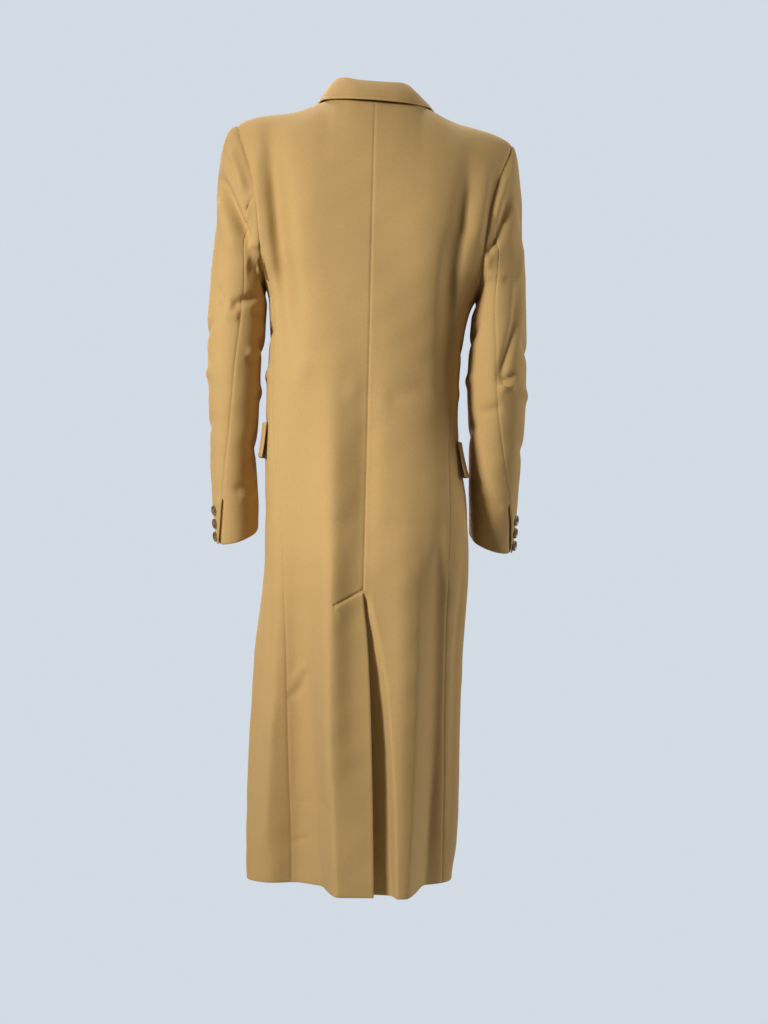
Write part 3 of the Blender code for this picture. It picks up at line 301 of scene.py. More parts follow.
# Creases in the hanging cloth, as lines between two places seen from one side: across is X on the
# back and front and Y on the sides. A ridge has a depth above 0, a trough below.
CREASE_COLUMNS = ("face", "across", "height", "to_across", "to_height", "width", "depth")
CREASES = (
    # shoulders and armholes, from behind
    ("back", -0.166, -0.100, -0.152, -0.205, 0.0080, 0.0026),
    ("back", 0.175, -0.090, 0.163, -0.225, 0.0060, 0.0020),
    # left sleeve, from behind: the fold that hangs from its cap, then the bend of the elbow
    ("back", 0.230, -0.113, 0.1835, -0.2053, 0.0078, -0.0074),
    ("back", 0.228, -0.150, 0.200, -0.226, 0.0120, 0.0034),
    ("back", 0.2223, -0.068, 0.200, -0.125, 0.0055, -0.0026),
    ("back", 0.2172, -0.072, 0.1907, -0.137, 0.0070, 0.0030),
    ("back", 0.194, -0.157, 0.183, -0.162, 0.0050, 0.0012),
    ("back", 0.194, -0.175, 0.183, -0.180, 0.0050, 0.0012),
    ("back", 0.179, -0.2159, 0.166, -0.2180, 0.0050, 0.0016),
    ("back", 0.180, -0.2470, 0.160, -0.2480, 0.0110, -0.0026),
    ("back", 0.228, -0.279, 0.2135, -0.3064, 0.0060, -0.0026),
    ("back", 0.214, -0.320, 0.194, -0.321, 0.0070, 0.0022),
    ("back", 0.2036, -0.3064, 0.168, -0.2900, 0.0068, -0.0044),
    ("back", 0.171, -0.324, 0.158, -0.320, 0.0100, -0.0034),
    ("back", 0.180, -0.374, 0.160, -0.370, 0.0060, 0.0020),
    ("back", 0.180, -0.386, 0.160, -0.383, 0.0060, -0.0018),
    ("back", 0.196, -0.575, 0.166, -0.566, 0.0060, -0.0014),
    ("back", 0.190, -0.588, 0.164, -0.582, 0.0050, 0.0010),
    # right sleeve, from behind
    ("back", -0.203, -0.137, -0.183, -0.2065, 0.0080, -0.0042),
    ("back", -0.185, -0.203, -0.168, -0.222, 0.0060, -0.0036),
    ("back", -0.196, -0.105, -0.181, -0.170, 0.0065, 0.0020),
    ("back", -0.227, -0.205, -0.217, -0.262, 0.0050, 0.0022),
    ("back", -0.221, -0.255, -0.2165, -0.311, 0.0080, -0.0030),
    ("back", -0.217, -0.308, -0.193, -0.404, 0.0070, -0.0036),
    ("back", -0.172, -0.250, -0.196, -0.256, 0.0070, 0.0018),
    ("back", -0.195, -0.409, -0.2154, -0.3975, 0.0045, -0.0028),
    ("back", -0.194, -0.418, -0.214, -0.412, 0.0050, 0.0024),
    ("back", -0.166, -0.455, -0.196, -0.446, 0.0070, -0.0016),
    ("back", -0.170, -0.580, -0.204, -0.592, 0.0070, -0.0012),
    # back's waist and skirt
    ("back", 0.1074, -0.8786, 0.0936, -0.8724, 0.0046, -0.0012),
    ("back", 0.0936, -0.8724, 0.0778, -0.8387, 0.0052, -0.0015),
    ("back", 0.102, -0.862, 0.086, -0.830, 0.0060, 0.0010),
    ("back", 0.0860, -1.0358, 0.0683, -1.0290, 0.0044, -0.0008),
    ("back", 0.0968, -1.0954, 0.0700, -1.0860, 0.0044, -0.0011),
    ("back", 0.0564, -1.0258, 0.0401, -1.0398, 0.0044, -0.0014),
    ("back", 0.134, -0.900, 0.138, -1.100, 0.0090, 0.0030),
    ("back", 0.030, -0.430, 0.090, -0.405, 0.0160, -0.0014),
    ("back", -0.030, -0.440, -0.085, -0.420, 0.0160, -0.0014),
    ("back", -0.110, -0.620, -0.104, -1.120, 0.0090, -0.0022),
    # sleeves, from in front: the bend of the elbow and the armhole's drag
    ("front", 0.176, -0.330, 0.232, -0.350, 0.0070, -0.0032),
    ("front", 0.180, -0.352, 0.232, -0.376, 0.0080, 0.0030),
    ("front", 0.176, -0.395, 0.226, -0.392, 0.0065, -0.0034),
    ("front", 0.182, -0.416, 0.228, -0.424, 0.0080, 0.0024),
    ("front", 0.178, -0.452, 0.214, -0.446, 0.0070, -0.0024),
    ("front", 0.214, -0.100, 0.186, -0.190, 0.0100, -0.0026),
    ("front", -0.172, -0.344, -0.224, -0.362, 0.0070, -0.0034),
    ("front", -0.174, -0.372, -0.226, -0.386, 0.0075, 0.0028),
    ("front", -0.170, -0.410, -0.220, -0.404, 0.0070, -0.0030),
    ("front", -0.176, -0.440, -0.218, -0.452, 0.0080, 0.0022),
    ("front", -0.212, -0.110, -0.184, -0.200, 0.0110, -0.0024),
    # fronts: drag below the armholes, and pulls towards the buttons
    ("front", 0.146, -0.150, 0.120, -0.260, 0.0110, -0.0028),
    ("front", -0.150, -0.140, -0.124, -0.250, 0.0120, -0.0030),
    ("front", 0.020, -0.440, 0.090, -0.420, 0.0100, -0.0012),
    ("front", -0.020, -0.440, -0.090, -0.424, 0.0110, -0.0013),
    ("front", 0.024, -0.330, 0.080, -0.300, 0.0100, -0.0012),
    ("front", 0.100, -0.640, 0.112, -1.050, 0.0120, -0.0030),
    ("front", -0.112, -0.620, -0.118, -1.080, 0.0130, -0.0034),
    ("front", 0.004, -0.700, 0.010, -1.100, 0.0160, 0.0022),
    # sleeves and sides, from the coat's left and right
    ("left", 0.040, -0.330, -0.030, -0.366, 0.0080, -0.0026),
    ("left", 0.030, -0.400, -0.045, -0.410, 0.0085, 0.0020),
    ("left", 0.030, -0.150, -0.020, -0.240, 0.0120, -0.0022),
    ("left", 0.020, -0.470, -0.050, -0.500, 0.0090, -0.0018),
    ("left", 0.060, -0.700, 0.050, -1.120, 0.0160, -0.0030),
    ("left", -0.050, -0.640, -0.056, -1.080, 0.0180, -0.0028),
    ("left", 0.005, -0.760, 0.000, -1.150, 0.0150, 0.0032),
    ("right", 0.036, -0.350, -0.036, -0.384, 0.0080, -0.0028),
    ("right", 0.030, -0.420, -0.050, -0.436, 0.0085, 0.0020),
    ("right", 0.034, -0.140, -0.010, -0.240, 0.0120, -0.0024),
    ("right", 0.010, -0.500, -0.060, -0.520, 0.0090, -0.0016),
    ("right", 0.046, -0.680, 0.040, -1.100, 0.0150, -0.0030),
    ("right", -0.060, -0.660, -0.064, -1.120, 0.0170, -0.0030),
)
CREASE_END = 0.18         # share of its length by which a crease runs out beyond each end
FACING_FULL = 0.55        # how squarely cloth faces a side where that side's creases are full
OUTSIDE_FROM = 0.125      # distance from the middle where the creases of the sides begin
OUTSIDE_EASE = 0.02
# The row of stitches that holds the top of the vent, on the left back: out and height, twice.
VENT_STITCH = (-0.001, -0.7160, 0.0420, -0.7400)
VENT_GROOVE_DEPTH = 0.0017
VENT_GROOVE_WIDTH = 0.0016
VENT_TURNED_THICK = 0.0010
# The slow unevenness of the cloth: how long its waves are and how far they rise.
WAVE_COLUMNS = ("long", "rise")
WAVES = ((0.150, 0.00055), (0.080, 0.00035), (0.042, 0.00016))
WAVES_EACH = 5


# ---------------------------------------------------------------- settings a user would change
class OvercoatSettings(bpy.types.PropertyGroup):
    """Sizes and colours of the coat's cloth and trimmings."""

    grain: FloatProperty(
        name="Cloth grid", description="Distance between neighbouring points of the cloth",
        default=0.0042, min=0.002, max=0.02, unit="LENGTH")
    seam_depth: FloatProperty(
        name="Seam depth", description="How far the cloth sinks along a pressed seam",
        default=0.0008, min=0.0, max=0.002, unit="LENGTH")
    seam_reach: FloatProperty(
        name="Seam reach", description="How far from a seam the cloth starts to sink",
        default=0.0019, min=0.001, max=0.01, unit="LENGTH")
    edge_round: FloatProperty(
        name="Edge round", description="How far the cloth's free edges are rounded over",
        default=0.0009, min=0.0, max=0.0012, unit="LENGTH")
    creasing: FloatProperty(
        name="Creasing", description="Strength of the creases, 0 for freshly pressed cloth",
        default=1.7, min=0.0, max=3.0, subtype="FACTOR")
    stitch_pitch: FloatProperty(
        name="Stitch pitch", description="Distance from one pick stitch to the next",
        default=0.0046, min=0.002, max=0.02, unit="LENGTH")
    button_corners: IntProperty(
        name="Button corners", description="Sides of the round of a button",
        default=40, min=12, max=96)
    wool: FloatVectorProperty(
        name="Wool", description="Camel colour of the wool where it is evenly lit",
        default=(0.525, 0.336, 0.130), size=3, min=0.0, max=1.0, subtype="COLOR")
    # Painted shade: the colour that the wool is darkened to in the hollows between its fibres,
    # where shade falls.
    wool_fibre_shade: FloatVectorProperty(
        name="Wool between the fibres", description="Deeper colour between the brushed fibres",
        default=(0.380, 0.232, 0.080), size=3, min=0.0, max=1.0, subtype="COLOR")
    horn: FloatVectorProperty(
        name="Horn", description="Brown of the buttons",
        default=(0.115, 0.058, 0.026), size=3, min=0.0, max=1.0, subtype="COLOR")
    horn_pale: FloatVectorProperty(
        name="Horn streaks", description="Paler streaks in the buttons",
        default=(0.340, 0.210, 0.110), size=3, min=0.0, max=1.0, subtype="COLOR")
    thread: FloatVectorProperty(
        name="Thread", description="Colour of the sewing thread",
        default=(0.300, 0.175, 0.065), size=3, min=0.0, max=1.0, subtype="COLOR")
    backdrop: FloatVectorProperty(
        name="Backdrop", description="Pale blue-grey of the studio's floor and wall",
        default=(0.651, 0.708, 0.776), size=3, min=0.0, max=1.0, subtype="COLOR")


def settings():
    return bpy.context.scene.overcoat


# ---------------------------------------------------------------- small helpers
def unit(vectors):
    """The same directions, each 1 long."""
    return vectors / np.linalg.norm(vectors, axis=-1, keepdims=True)


def linked(name, data):
    """A new object in the scene."""
    thing = bpy.data.objects.new(name, data)
    bpy.context.scene.collection.objects.link(thing)
    return thing


def named(columns, rows):
    """The rows of a table, with their values by name."""
    return [SimpleNamespace(**dict(zip(columns, row))) for row in rows]


# ---------------------------------------------------------------- curves through the tables
def smooth_curve(knots, values):
    """A function that runs smoothly through the values and never past them."""
    order = np.argsort(knots)
    knots = np.asarray(knots, float)[order]
    values = np.asarray(values, float)[order]
    steps = np.diff(knots)
    slopes = np.diff(values) / steps
    tangents = np.zeros(len(knots))
    for i in range(1, len(knots) - 1):
        if slopes[i - 1] * slopes[i] > 0:
            before = 2 * steps[i] + steps[i - 1]
            after = steps[i] + 2 * steps[i - 1]
            tangents[i] = (before + after) / (before / slopes[i - 1] + after / slopes[i])
    tangents[0] = slopes[0]
    tangents[-1] = slopes[-1]

    def curve(where):
        where = np.clip(where, knots[0], knots[-1])
        i = np.clip(np.searchsorted(knots, where) - 1, 0, len(steps) - 1)
        t = (where - knots[i]) / steps[i]
        level = values[i] * (1 + 2 * t) * (1 - t) ** 2 + values[i + 1] * t * t * (3 - 2 * t)
        bend = tangents[i] * t * (1 - t) ** 2 - tangents[i + 1] * t * t * (1 - t)
        return level + steps[i] * bend

    return curve


def curves(columns, rows):
    """One smooth curve for each column of a table after the first, by name."""
    first = [row[0] for row in rows]
    return {name: smooth_curve(first, [row[k] for row in rows])
            for k, name in enumerate(columns) if k > 0}


body = curves(BODY_COLUMNS, BODY)
ridge = curves(RIDGE_COLUMNS, RIDGE)["height"]
seams = curves(SEAM_COLUMNS, SEAMS)
armhole = curves(ARMHOLE_COLUMNS, ARMHOLE)
front_edge = curves(FRONT_EDGE_COLUMNS, FRONT_EDGE)["out"]
bulge = curves(BULGE_COLUMNS, BULGE)
tilt = curves(TILT_COLUMNS, TILT)
arm = curves(ARM_COLUMNS, ARM)
arm_seams = curves(ARM_SEAM_COLUMNS, ARM_SEAMS)
folds = named(FOLD_COLUMNS, FOLDS)
crease_lines = named(CREASE_COLUMNS, CREASES)


def fade(t):
    """0 below 0, 1 above 1, smooth between."""
    t = np.clip(t, 0.0, 1.0)
    return t * t * (3 - 2 * t)


# ---------------------------------------------------------------- the form that the cloth takes
def half_width(x, z):
    return np.where(np.asarray(x) >= 0, body["left"](z), body["right"](z))


def fold_relief(x, z, face):
    """How far the large folds push the cloth out, at a place seen from behind or in front."""
    total = np.zeros(np.broadcast(x, z).shape)
    for fold in folds:
        if fold.face == face:
            down = np.clip((fold.top - z) / (fold.top - fold.low), 0.0, 1.0)
            middle = fold.out_top + (fold.out_low - fold.out_top) * down
            along = fade(1.3 * down) if fold.open else np.sin(math.pi * down)
            total = total + fold.depth * along * np.exp(-((x - middle) / fold.width) ** 2)
    if face == "back":
        inside_left = fade((bulge["left"](z) - x) / (2 * bulge["slope"](z)) + 0.5)
        inside_right = fade((x - bulge["right"](z)) / (2 * bulge["slope"](z)) + 0.5)
        total = total + bulge["depth"](z) * inside_left * inside_right
    return total


def body_surface(x, z, face):
    """A point of the coat's outer surface at x and z, on its back or its front."""
    x = np.asarray(x, float)
    z = np.asarray(z, float)
    share = np.clip(np.abs(x) / half_width(x, z), 0.0, 1.0)
    ring = (1 - share ** SQUARENESS) ** (1 / SQUARENESS)
    rise = np.clip((z - TAPER_FROM) / (ridge(np.abs(x)) - TAPER_FROM), 0.0, 1.0)
    taper = (1 - rise ** TAPER_POWER) ** (1 / TAPER_POWER)
    out = (body[face](z) * ring + fold_relief(x, z, face) * fade(2 * ring)) * taper
    y = SIDE_Y + (out if face == "back" else -out)
    return np.stack(np.broadcast_arrays(x, y, z), axis=-1)


def turn_at(x, z, face):
    """The angle round the body, from the centre back, of a place at x and z."""
    share = np.clip(np.abs(x) / half_width(x, z), 0.0, 1.0)
    turn = np.arcsin(share ** (SQUARENESS / 2))
    return turn if face == "back" else math.pi - turn


def side_surface(turn, z, side):
    """A point of the outer surface by its angle round the body, for the coat's sides."""
    x = side * half_width(side, z) * np.sin(turn) ** (2 / SQUARENESS)
    facing_back = body_surface(x, z, "back")
    facing_front = body_surface(x, z, "front")
    return np.where((np.cos(turn) >= 0)[..., None], facing_back, facing_front)


def posed(points, part="body"):
    """The same points with the shoulders and pockets tipped as they hang."""
    points = np.array(points, float)
    points[..., 2] += points[..., 0] * tilt[part](points[..., 2])
    return points


# ---------------------------------------------------------------- how close the points lie
def marks(length, near_start=True, near_end=True):
    """Marks from 0 to 1 along a length, closer together where the cloth ends."""
    count = max(4, round(length / settings().grain))
    even = np.linspace(0.0, 1.0, count + 1)
    close = np.array(EDGE_MARKS) / length
    parts = [even]
    if near_start:
        parts.append(close)
    if near_end:
        parts.append(1 - close)
    return np.unique(np.round(np.concatenate(parts), 7))


def low_heights():
    """Heights from the hem to the armhole, closer by the hem and the vent's top."""
    close_from = VENT_TOP - VENT_ROWS_TALL
    below = HEM + (close_from - HEM) * marks(close_from - HEM, True, False)
    beside = np.linspace(close_from, VENT_TOP, VENT_ROWS)
    count = round((ARMHOLE_SPLIT - VENT_TOP) / settings().grain)
    above = np.linspace(VENT_TOP, ARMHOLE_SPLIT, count + 1)
    heights = np.concatenate([below, beside[1:], above[1:]])
    return heights, len(below) + len(beside) - 2


def across_marks(dense_to=0.0):
    """Marks across a back or front, one of them where the neck ends."""
    inner = marks(TYPICAL["neck"], True, False) * NECK_SHARE
    outer = NECK_SHARE + (1 - NECK_SHARE) * marks(TYPICAL["shoulder"], False, True)
    extra = np.arange(0.0, dense_to, VENT_COLUMN) / TYPICAL["half"]
    return np.unique(np.round(np.concatenate([inner, outer, extra]), 7))


def high_marks():
    """Marks from the armhole's foot up to the shoulder."""
    return marks(TYPICAL["armhole"], False, True)


def lengths_along(line):
    """How far each point of a line lies along it from its first."""
    lengths = np.linalg.norm(np.diff(line, axis=0), axis=1)
    return np.concatenate([[0.0], np.cumsum(lengths)])


def spaced(line, at):
    """Points at given shares of the length of a line of many points."""
    along = lengths_along(line)
    return np.stack([np.interp(at * along[-1], along, line[:, k]) for k in range(3)], axis=1)


# ---------------------------------------------------------------- grids of points, by piece
def upper_columns(low_xs, tops, shares, face, side, armhole_out, inner_edge=None):
    """Columns from the armhole's foot up to the neck and shoulder, evenly spaced in length."""
    steps = 1 - (1 - np.linspace(0.0, 1.0, 400)) ** 2.5
    edge_z = ARMHOLE_SPLIT + (SHOULDER_TIP - ARMHOLE_SPLIT) * steps
    straight = low_xs[-1] + (tops[-1][0] - low_xs[-1]) * steps
    roll_z = ARMHOLE_SPLIT + (tops[0][1] - ARMHOLE_SPLIT) * steps
    straight_roll = low_xs[0] + (tops[0][0] - low_xs[0]) * steps
    columns = []
    for i, (top_x, top_z) in enumerate(tops):
        z = ARMHOLE_SPLIT + (top_z - ARMHOLE_SPLIT) * steps
        x = low_xs[i] + (top_x - low_xs[i]) * steps
        x = x + shares[i] ** 2 * (armhole_out(edge_z) - straight)
        if inner_edge is not None:
            x = x + (1 - shares[i]) ** 6 * (inner_edge(roll_z) - straight_roll)
        columns.append(spaced(body_surface(side * x, z, face), high_marks()))
    return np.stack(columns, axis=1)


def shoulder_tops(shares):
    """Places along the shoulder line from the neck to the sleeve, by marks across a half."""
    beyond = shares[shares >= NECK_SHARE - 1e-6] - NECK_SHARE
    outs = NECK_OUT + (TIP_OUT - NECK_OUT) * beyond / (1 - NECK_SHARE)
    return [(float(out), float(ridge(out))) for out in outs]


def neck_place(angle):
    """Where the back neck seam runs, by its angle from the centre back: out and height."""
    rise = (float(ridge(NECK_OUT)) - NECK_BACK) * math.sin(angle) ** 3
    return NECK_OUT * math.sin(angle), NECK_BACK + rise


def back_grid(side):
    """A back half: rows from the hem up, columns from the centre outward."""
    heights, vent_row = low_heights()
    centre = seams["vent_edge" if side > 0 else "vent_fold"](heights) * side
    outer = seams["left" if side > 0 else "right"](heights)
    shares = across_marks(VENT_COLUMNS_WIDE[side])
    x = centre[:, None] * (1 - shares) + outer[:, None] * shares
    low = body_surface(side * x, heights[:, None], "back")
    neck = [neck_place(0.5 * math.pi * share / NECK_SHARE)
            for share in shares if share < NECK_SHARE - 1e-6]
    tops = neck + shoulder_tops(shares)
    high = upper_columns(x[-1], tops, shares, "back", side, armhole["back_out"])
    return np.concatenate([low, high[1:]]), heights, vent_row


def front_grid(side):
    """A front: rows from the hem up, columns from the front edge outward."""
    heights, _ = low_heights()
    shares = across_marks()
    x = front_edge(heights)[:, None] * (1 - shares) + seams["front"](heights)[:, None] * shares
    low = body_surface(side * x, heights[:, None], "front")
    inside = shares[shares < NECK_SHARE - 1e-6]
    roll = ROLL_CORNER + (float(ridge(NECK_OUT)) - ROLL_CORNER) * inside / NECK_SHARE
    tops = [(float(front_edge(z)), float(z)) for z in roll] + shoulder_tops(shares)
    high = upper_columns(x[-1], tops, shares, "front", side, armhole["front_out"], front_edge)
    grid = np.concatenate([low, high[1:]])
    grid[..., 1] -= lap_lift(grid[..., 0], grid[..., 2], side)
    return grid


def lap_lift(x, z, side):
    """How far the right front stands forward where it laps over the left."""
    if side > 0:
        return np.zeros(np.broadcast(x, z).shape)
    out = fade((x - LAP_OUT) / LAP_OUT_EASE)
    return (CLOTH + LAY_GAP) * out * fade((LAP_TOP - z) / LAP_TOP_EASE)


def side_marks():
    """Marks round a side body, from its back seam to its front one."""
    return marks(TYPICAL["side"])


def side_grid(side):
    """A side body: columns from the side-back seam round to the front."""
    heights, _ = low_heights()
    back_seam = side * seams["left" if side > 0 else "right"](heights)
    front_seam = side * seams["front"](heights)
    back = turn_at(back_seam, heights, "back")
    front = turn_at(front_seam, heights, "front")
    share = side_marks()
    turn = back[:, None] * (1 - share) + front[:, None] * share
    rows = np.broadcast_to(heights[:, None], turn.shape).copy()
    dip = (ARMPIT - ARMHOLE_SPLIT) * np.sin(math.pi * share) ** 0.8
    reach = np.clip((heights - SIDE_DIP_FROM) / (ARMHOLE_SPLIT - SIDE_DIP_FROM), 0.0, 1.0)
    rows += dip * reach[:, None]
    grid = side_surface(turn, rows, side)
    grid[:, 0] = body_surface(back_seam, heights, "back")
    grid[:, -1] = body_surface(front_seam, heights, "front")
    return grid


def armhole_loop(back, side_piece, front):
    """The armhole's points from its foot on the back, and their places in the coarse pattern."""
    low_rows = len(low_heights()[0])
    up = high_marks()
    up_back = back[low_rows - 1:, -1]
    down_front = front[low_rows - 1:, -1][::-1]
    below = side_piece[-1][::-1]
    places = np.concatenate([PATTERN_HIGH * up, PATTERN_HIGH * (2 - up[::-1][1:]),
                             2 * PATTERN_HIGH + PATTERN_SIDE * (1 - side_marks()[::-1][1:-1])])
    return np.concatenate([up_back, down_front[1:], below[1:-1]]), places


def sleeve_start(loop, places):
    """The armhole's points in a sleeve's order, from its hindarm seam round to it again."""
    first = int(np.argmin(np.abs(places - PATTERN_HINDARM)))
    turned = np.roll(loop, -first, axis=0)
    where = np.roll(places, -first)
    where = np.where(where < PATTERN_HINDARM - 1e-3, where + 2 * PATTERN_HIGH + PATTERN_SIDE, where)
    where[0] = PATTERN_HINDARM
    end = PATTERN_HINDARM + 2 * PATTERN_HIGH + PATTERN_SIDE
    return np.concatenate([turned, turned[:1]]), np.append(where, end)


def sleeve_angles(heights, where, word):
    """Angles of a sleeve ring's points, in step with the armhole's points."""
    hindarm = np.radians(arm_seams["hindarm_" + word](heights))[:, None]
    front = np.radians(arm_seams["front"](heights))[:, None]
    top_share = (where - PATTERN_HINDARM) / (2 * PATTERN_HIGH - PATTERN_HINDARM)
    under_share = (where - 2 * PATTERN_HIGH) / (PATTERN_SIDE + PATTERN_HINDARM)
    top = hindarm + (front - hindarm) * top_share
    under = front + (hindarm + 2 * math.pi - front) * under_share
    return np.where(top_share <= 1.0, top, under)


def arm_ring(angles, height, side):
    """A ring of a sleeve below the cap."""
    name = "left" if side > 0 else "right"
    across = arm[name + "_half"](height) * np.sin(angles)
    deep = arm["depth_half"](height) * np.cos(angles)
    pitch = np.radians(arm["pitch"](height))
    x = side * (arm[name](height) + across)
    y = arm["depth_mid"](height) + deep * np.cos(pitch)
    z = height - deep * np.sin(pitch) - across * arm["slant"](height)
    return np.stack(np.broadcast_arrays(x, y, z), axis=-1)


def sleeve_grid(start, where, side):
    """A whole sleeve: rows from the armhole to the cuff, columns round from the hindarm seam."""
    word = "left" if side > 0 else "right"
    span = ARM[0][0] - ARM[-1][0]
    heights = ARM[0][0] - span * marks(span, False, True)
    angles = sleeve_angles(heights, where, word)
    below = np.stack([arm_ring(angles[k], heights[k], side) for k in range(len(heights))])
    first = below[0]
    next_height = ARM[0][0] - CAP_STEP
    ahead = sleeve_angles(np.array([next_height]), where, word)[0]
    arrive = arm_ring(ahead, next_height, side) - first
    over = (1 + np.sin(angles[0])) / 2
    length = np.linalg.norm(first - start, axis=1)
    leave = np.stack([side * (CAP_OUT[0] + CAP_OUT[1] * over), CAP_ROUND * np.cos(angles[0]),
                      -(CAP_DOWN - over ** 3)], axis=1)
    leave = unit(leave) * (length * (CAP_PULL - CAP_FLATNESS[word] * over ** 2))[:, None]
    end_pull = CAP_END_PULL[0] + CAP_END_PULL[1] * over ** 2
    arrive = unit(arrive) * (length * end_pull)[:, None]
    cap = []
    for t in marks(TYPICAL["cap"], True, False)[:-1]:
        point = start * (1 + 2 * t) * (1 - t) ** 2 + first * t * t * (3 - 2 * t)
        cap.append(point + leave * t * (1 - t) ** 2 - arrive * t * t * (1 - t))
    return np.concatenate([np.stack(cap), below])


# ---------------------------------------------------------------- fine relief of the cloth
def creases(points, normals):
    """How far the creases lift or sink each point."""
    total = np.zeros(points.shape[:-1])
    facings = {"back": (0, normals[..., 1]), "front": (0, -normals[..., 1]),
               "left": (1, normals[..., 0]), "right": (1, -normals[..., 0])}
    for crease in crease_lines:
        axis, towards = facings[crease.face]
        start = np.array((crease.across, crease.height))
        line = np.array((crease.to_across, crease.to_height)) - start
        long = np.linalg.norm(line)
        line /= long
        offset = points[..., (axis, 2)] - start
        along = offset @ line / long
        aside = offset[..., 0] * line[1] - offset[..., 1] * line[0]
        ends = (fade((along + CREASE_END) / (2 * CREASE_END))
                * fade((1 + CREASE_END - along) / (2 * CREASE_END)))
        outside = 1.0
        if crease.face in ("left", "right"):
            outside = fade((np.abs(points[..., 0]) - OUTSIDE_FROM) / OUTSIDE_EASE)
        profile = crease.depth * ends * np.exp(-(aside / crease.width) ** 2)
        total += profile * fade(towards / FACING_FULL) * outside
    return total * settings().creasing


def undulation(points):
    """Slow unevenness of hanging cloth, from waves in many directions."""
    random = np.random.default_rng(11)
    total = np.zeros(points.shape[:-1])
    for wave in named(WAVE_COLUMNS, WAVES):
        for _ in range(WAVES_EACH):
            way = random.normal(size=3) * (1.0, 1.0, 0.55)
            way *= 2 * math.pi / wave.long / np.linalg.norm(way)
            total += wave.rise / 1.6 * np.sin(points @ way + random.uniform(0, 2 * math.pi))
    return total


def vent_stitch_relief(points):
    """The pressed groove along the vent's stitched top, with the turned-in cloth below it."""
    x0, z0, x1, z1 = VENT_STITCH
    line = np.array((x1 - x0, z1 - z0))
    long = np.linalg.norm(line)
    line /= long
    offset = points[..., (0, 2)] - (x0, z0)
    along = offset @ line
    below = offset[..., 0] * line[1] - offset[..., 1] * line[0]
    inside = fade((along + 0.002) / 0.003) * fade((long + 0.001 - along) / 0.003)
    groove = -VENT_GROOVE_DEPTH * np.exp(-(below / VENT_GROOVE_WIDTH) ** 2)
    raised = VENT_TURNED_THICK * fade((below - 0.001) / 0.004) * fade((0.030 - below) / 0.022)
    return (groove + raised) * inside


def edge_distances(grid):
    """Distances of a grid's points from its four edges, along its rows and columns."""
    along = np.linalg.norm(np.diff(grid, axis=1), axis=2)
    up = np.linalg.norm(np.diff(grid, axis=0), axis=2)
    first = np.concatenate([np.zeros((grid.shape[0], 1)), np.cumsum(along, axis=1)], axis=1)
    low = np.concatenate([np.zeros((1, grid.shape[1])), np.cumsum(up, axis=0)], axis=0)
    return {"first": first, "last": first[:, -1:] - first, "low": low, "top": low[-1:] - low}


def edge_relief(piece, free_edges):
    """How far the outer and inner sides sink along seams and round over at free edges."""
    user = settings()
    outer = np.zeros(piece.grid.shape[:2])
    inner = np.zeros(piece.grid.shape[:2])
    for edge, away in piece.distances.items():
        free = 1.0 if edge in free_edges else piece.free.get(edge, 0.0)
        sunk = user.seam_depth * np.exp(-(away / user.seam_reach) ** 2) * (1 - free)
        rounded = user.edge_round * np.exp(-(away / EDGE_REACH) ** 2) * free
        outer = np.maximum(outer, sunk + rounded)
        inner = np.maximum(inner, rounded)
    return -outer, inner


# ---------------------------------------------------------------- from grids to walls of cloth
def facing(grid, outward):
    """1 where rows and columns turn so that faces point outward, else -1."""
    j, i = (grid.shape[0] - 1) // 2, (grid.shape[1] - 1) // 2
    along = grid[j, i + 1] - grid[j, i]
    up = grid[j + 1, i] - grid[j, i]
    return 1 if np.dot(np.cross(along, up), outward) > 0 else -1


def shared_normals(pieces):
    """Gives each piece normals at its points, the same for pieces that share a point."""
    keys, weights = [], []
    for piece in pieces:
        grid, cells = piece.grid, piece.cells
        across = np.cross(grid[1:, 1:] - grid[:-1, :-1], grid[1:, :-1] - grid[:-1, 1:])
        across *= piece.way * cells[..., None]
        total = np.zeros(grid.shape)
        for rows in (slice(0, -1), slice(1, None)):
            for columns in (slice(0, -1), slice(1, None)):
                total[rows, columns] += across
        keys.append(np.round(grid.reshape(-1, 3), 6))
        weights.append(total.reshape(-1, 3))
    _, index = np.unique(np.concatenate(keys), axis=0, return_inverse=True)
    index = index.reshape(-1)
    weights = np.concatenate(weights)
    sums = np.zeros((index.max() + 1, 3))
    for k in range(3):
        sums[:, k] = np.bincount(index, weights[:, k], minlength=len(sums))
    sums /= np.maximum(np.linalg.norm(sums, axis=1), 1e-12)[:, None]
    start = 0
    for piece in pieces:
        count = piece.grid.shape[0] * piece.grid.shape[1]
        piece.normals = sums[index[start:start + count]].reshape(piece.grid.shape)
        start += count


def rim_edges(cells, way):
    """The edges of the cells that no other cell shares, in the faces' own direction."""
    padded = np.pad(cells, 1)
    edges = []
    for j, i in zip(*np.nonzero(cells)):
        corners = ((j, i), (j, i + 1), (j + 1, i + 1), (j + 1, i))
        beside = (padded[j, i + 1], padded[j + 1, i + 2], padded[j + 2, i + 1], padded[j + 1, i])
        for k in range(4):
            if not beside[k]:
                edge = (corners[k], corners[(k + 1) % 4])
                edges.append(edge if way > 0 else edge[::-1])
    return edges


def draw_back(piece, places):
    """Moves the points on a piece's rim inward, so that it clears its neighbours at the seams."""
    drawn = {}
    for start, end in rim_edges(piece.cells, piece.way):
        normal = piece.normals[start] + piece.normals[end]
        inward = np.cross(normal, piece.grid[end] - piece.grid[start])
        inward /= max(np.linalg.norm(inward), 1e-12)
        for corner in (start, end):
            drawn.setdefault(corner, []).append(inward)
    for corner, ways in drawn.items():
        mitre = (ways[0] + ways[-1]) / max(1 + np.dot(ways[0], ways[-1]), 0.5)
        for grid in places:
            grid[corner] += mitre * SEAM_GAP / 2


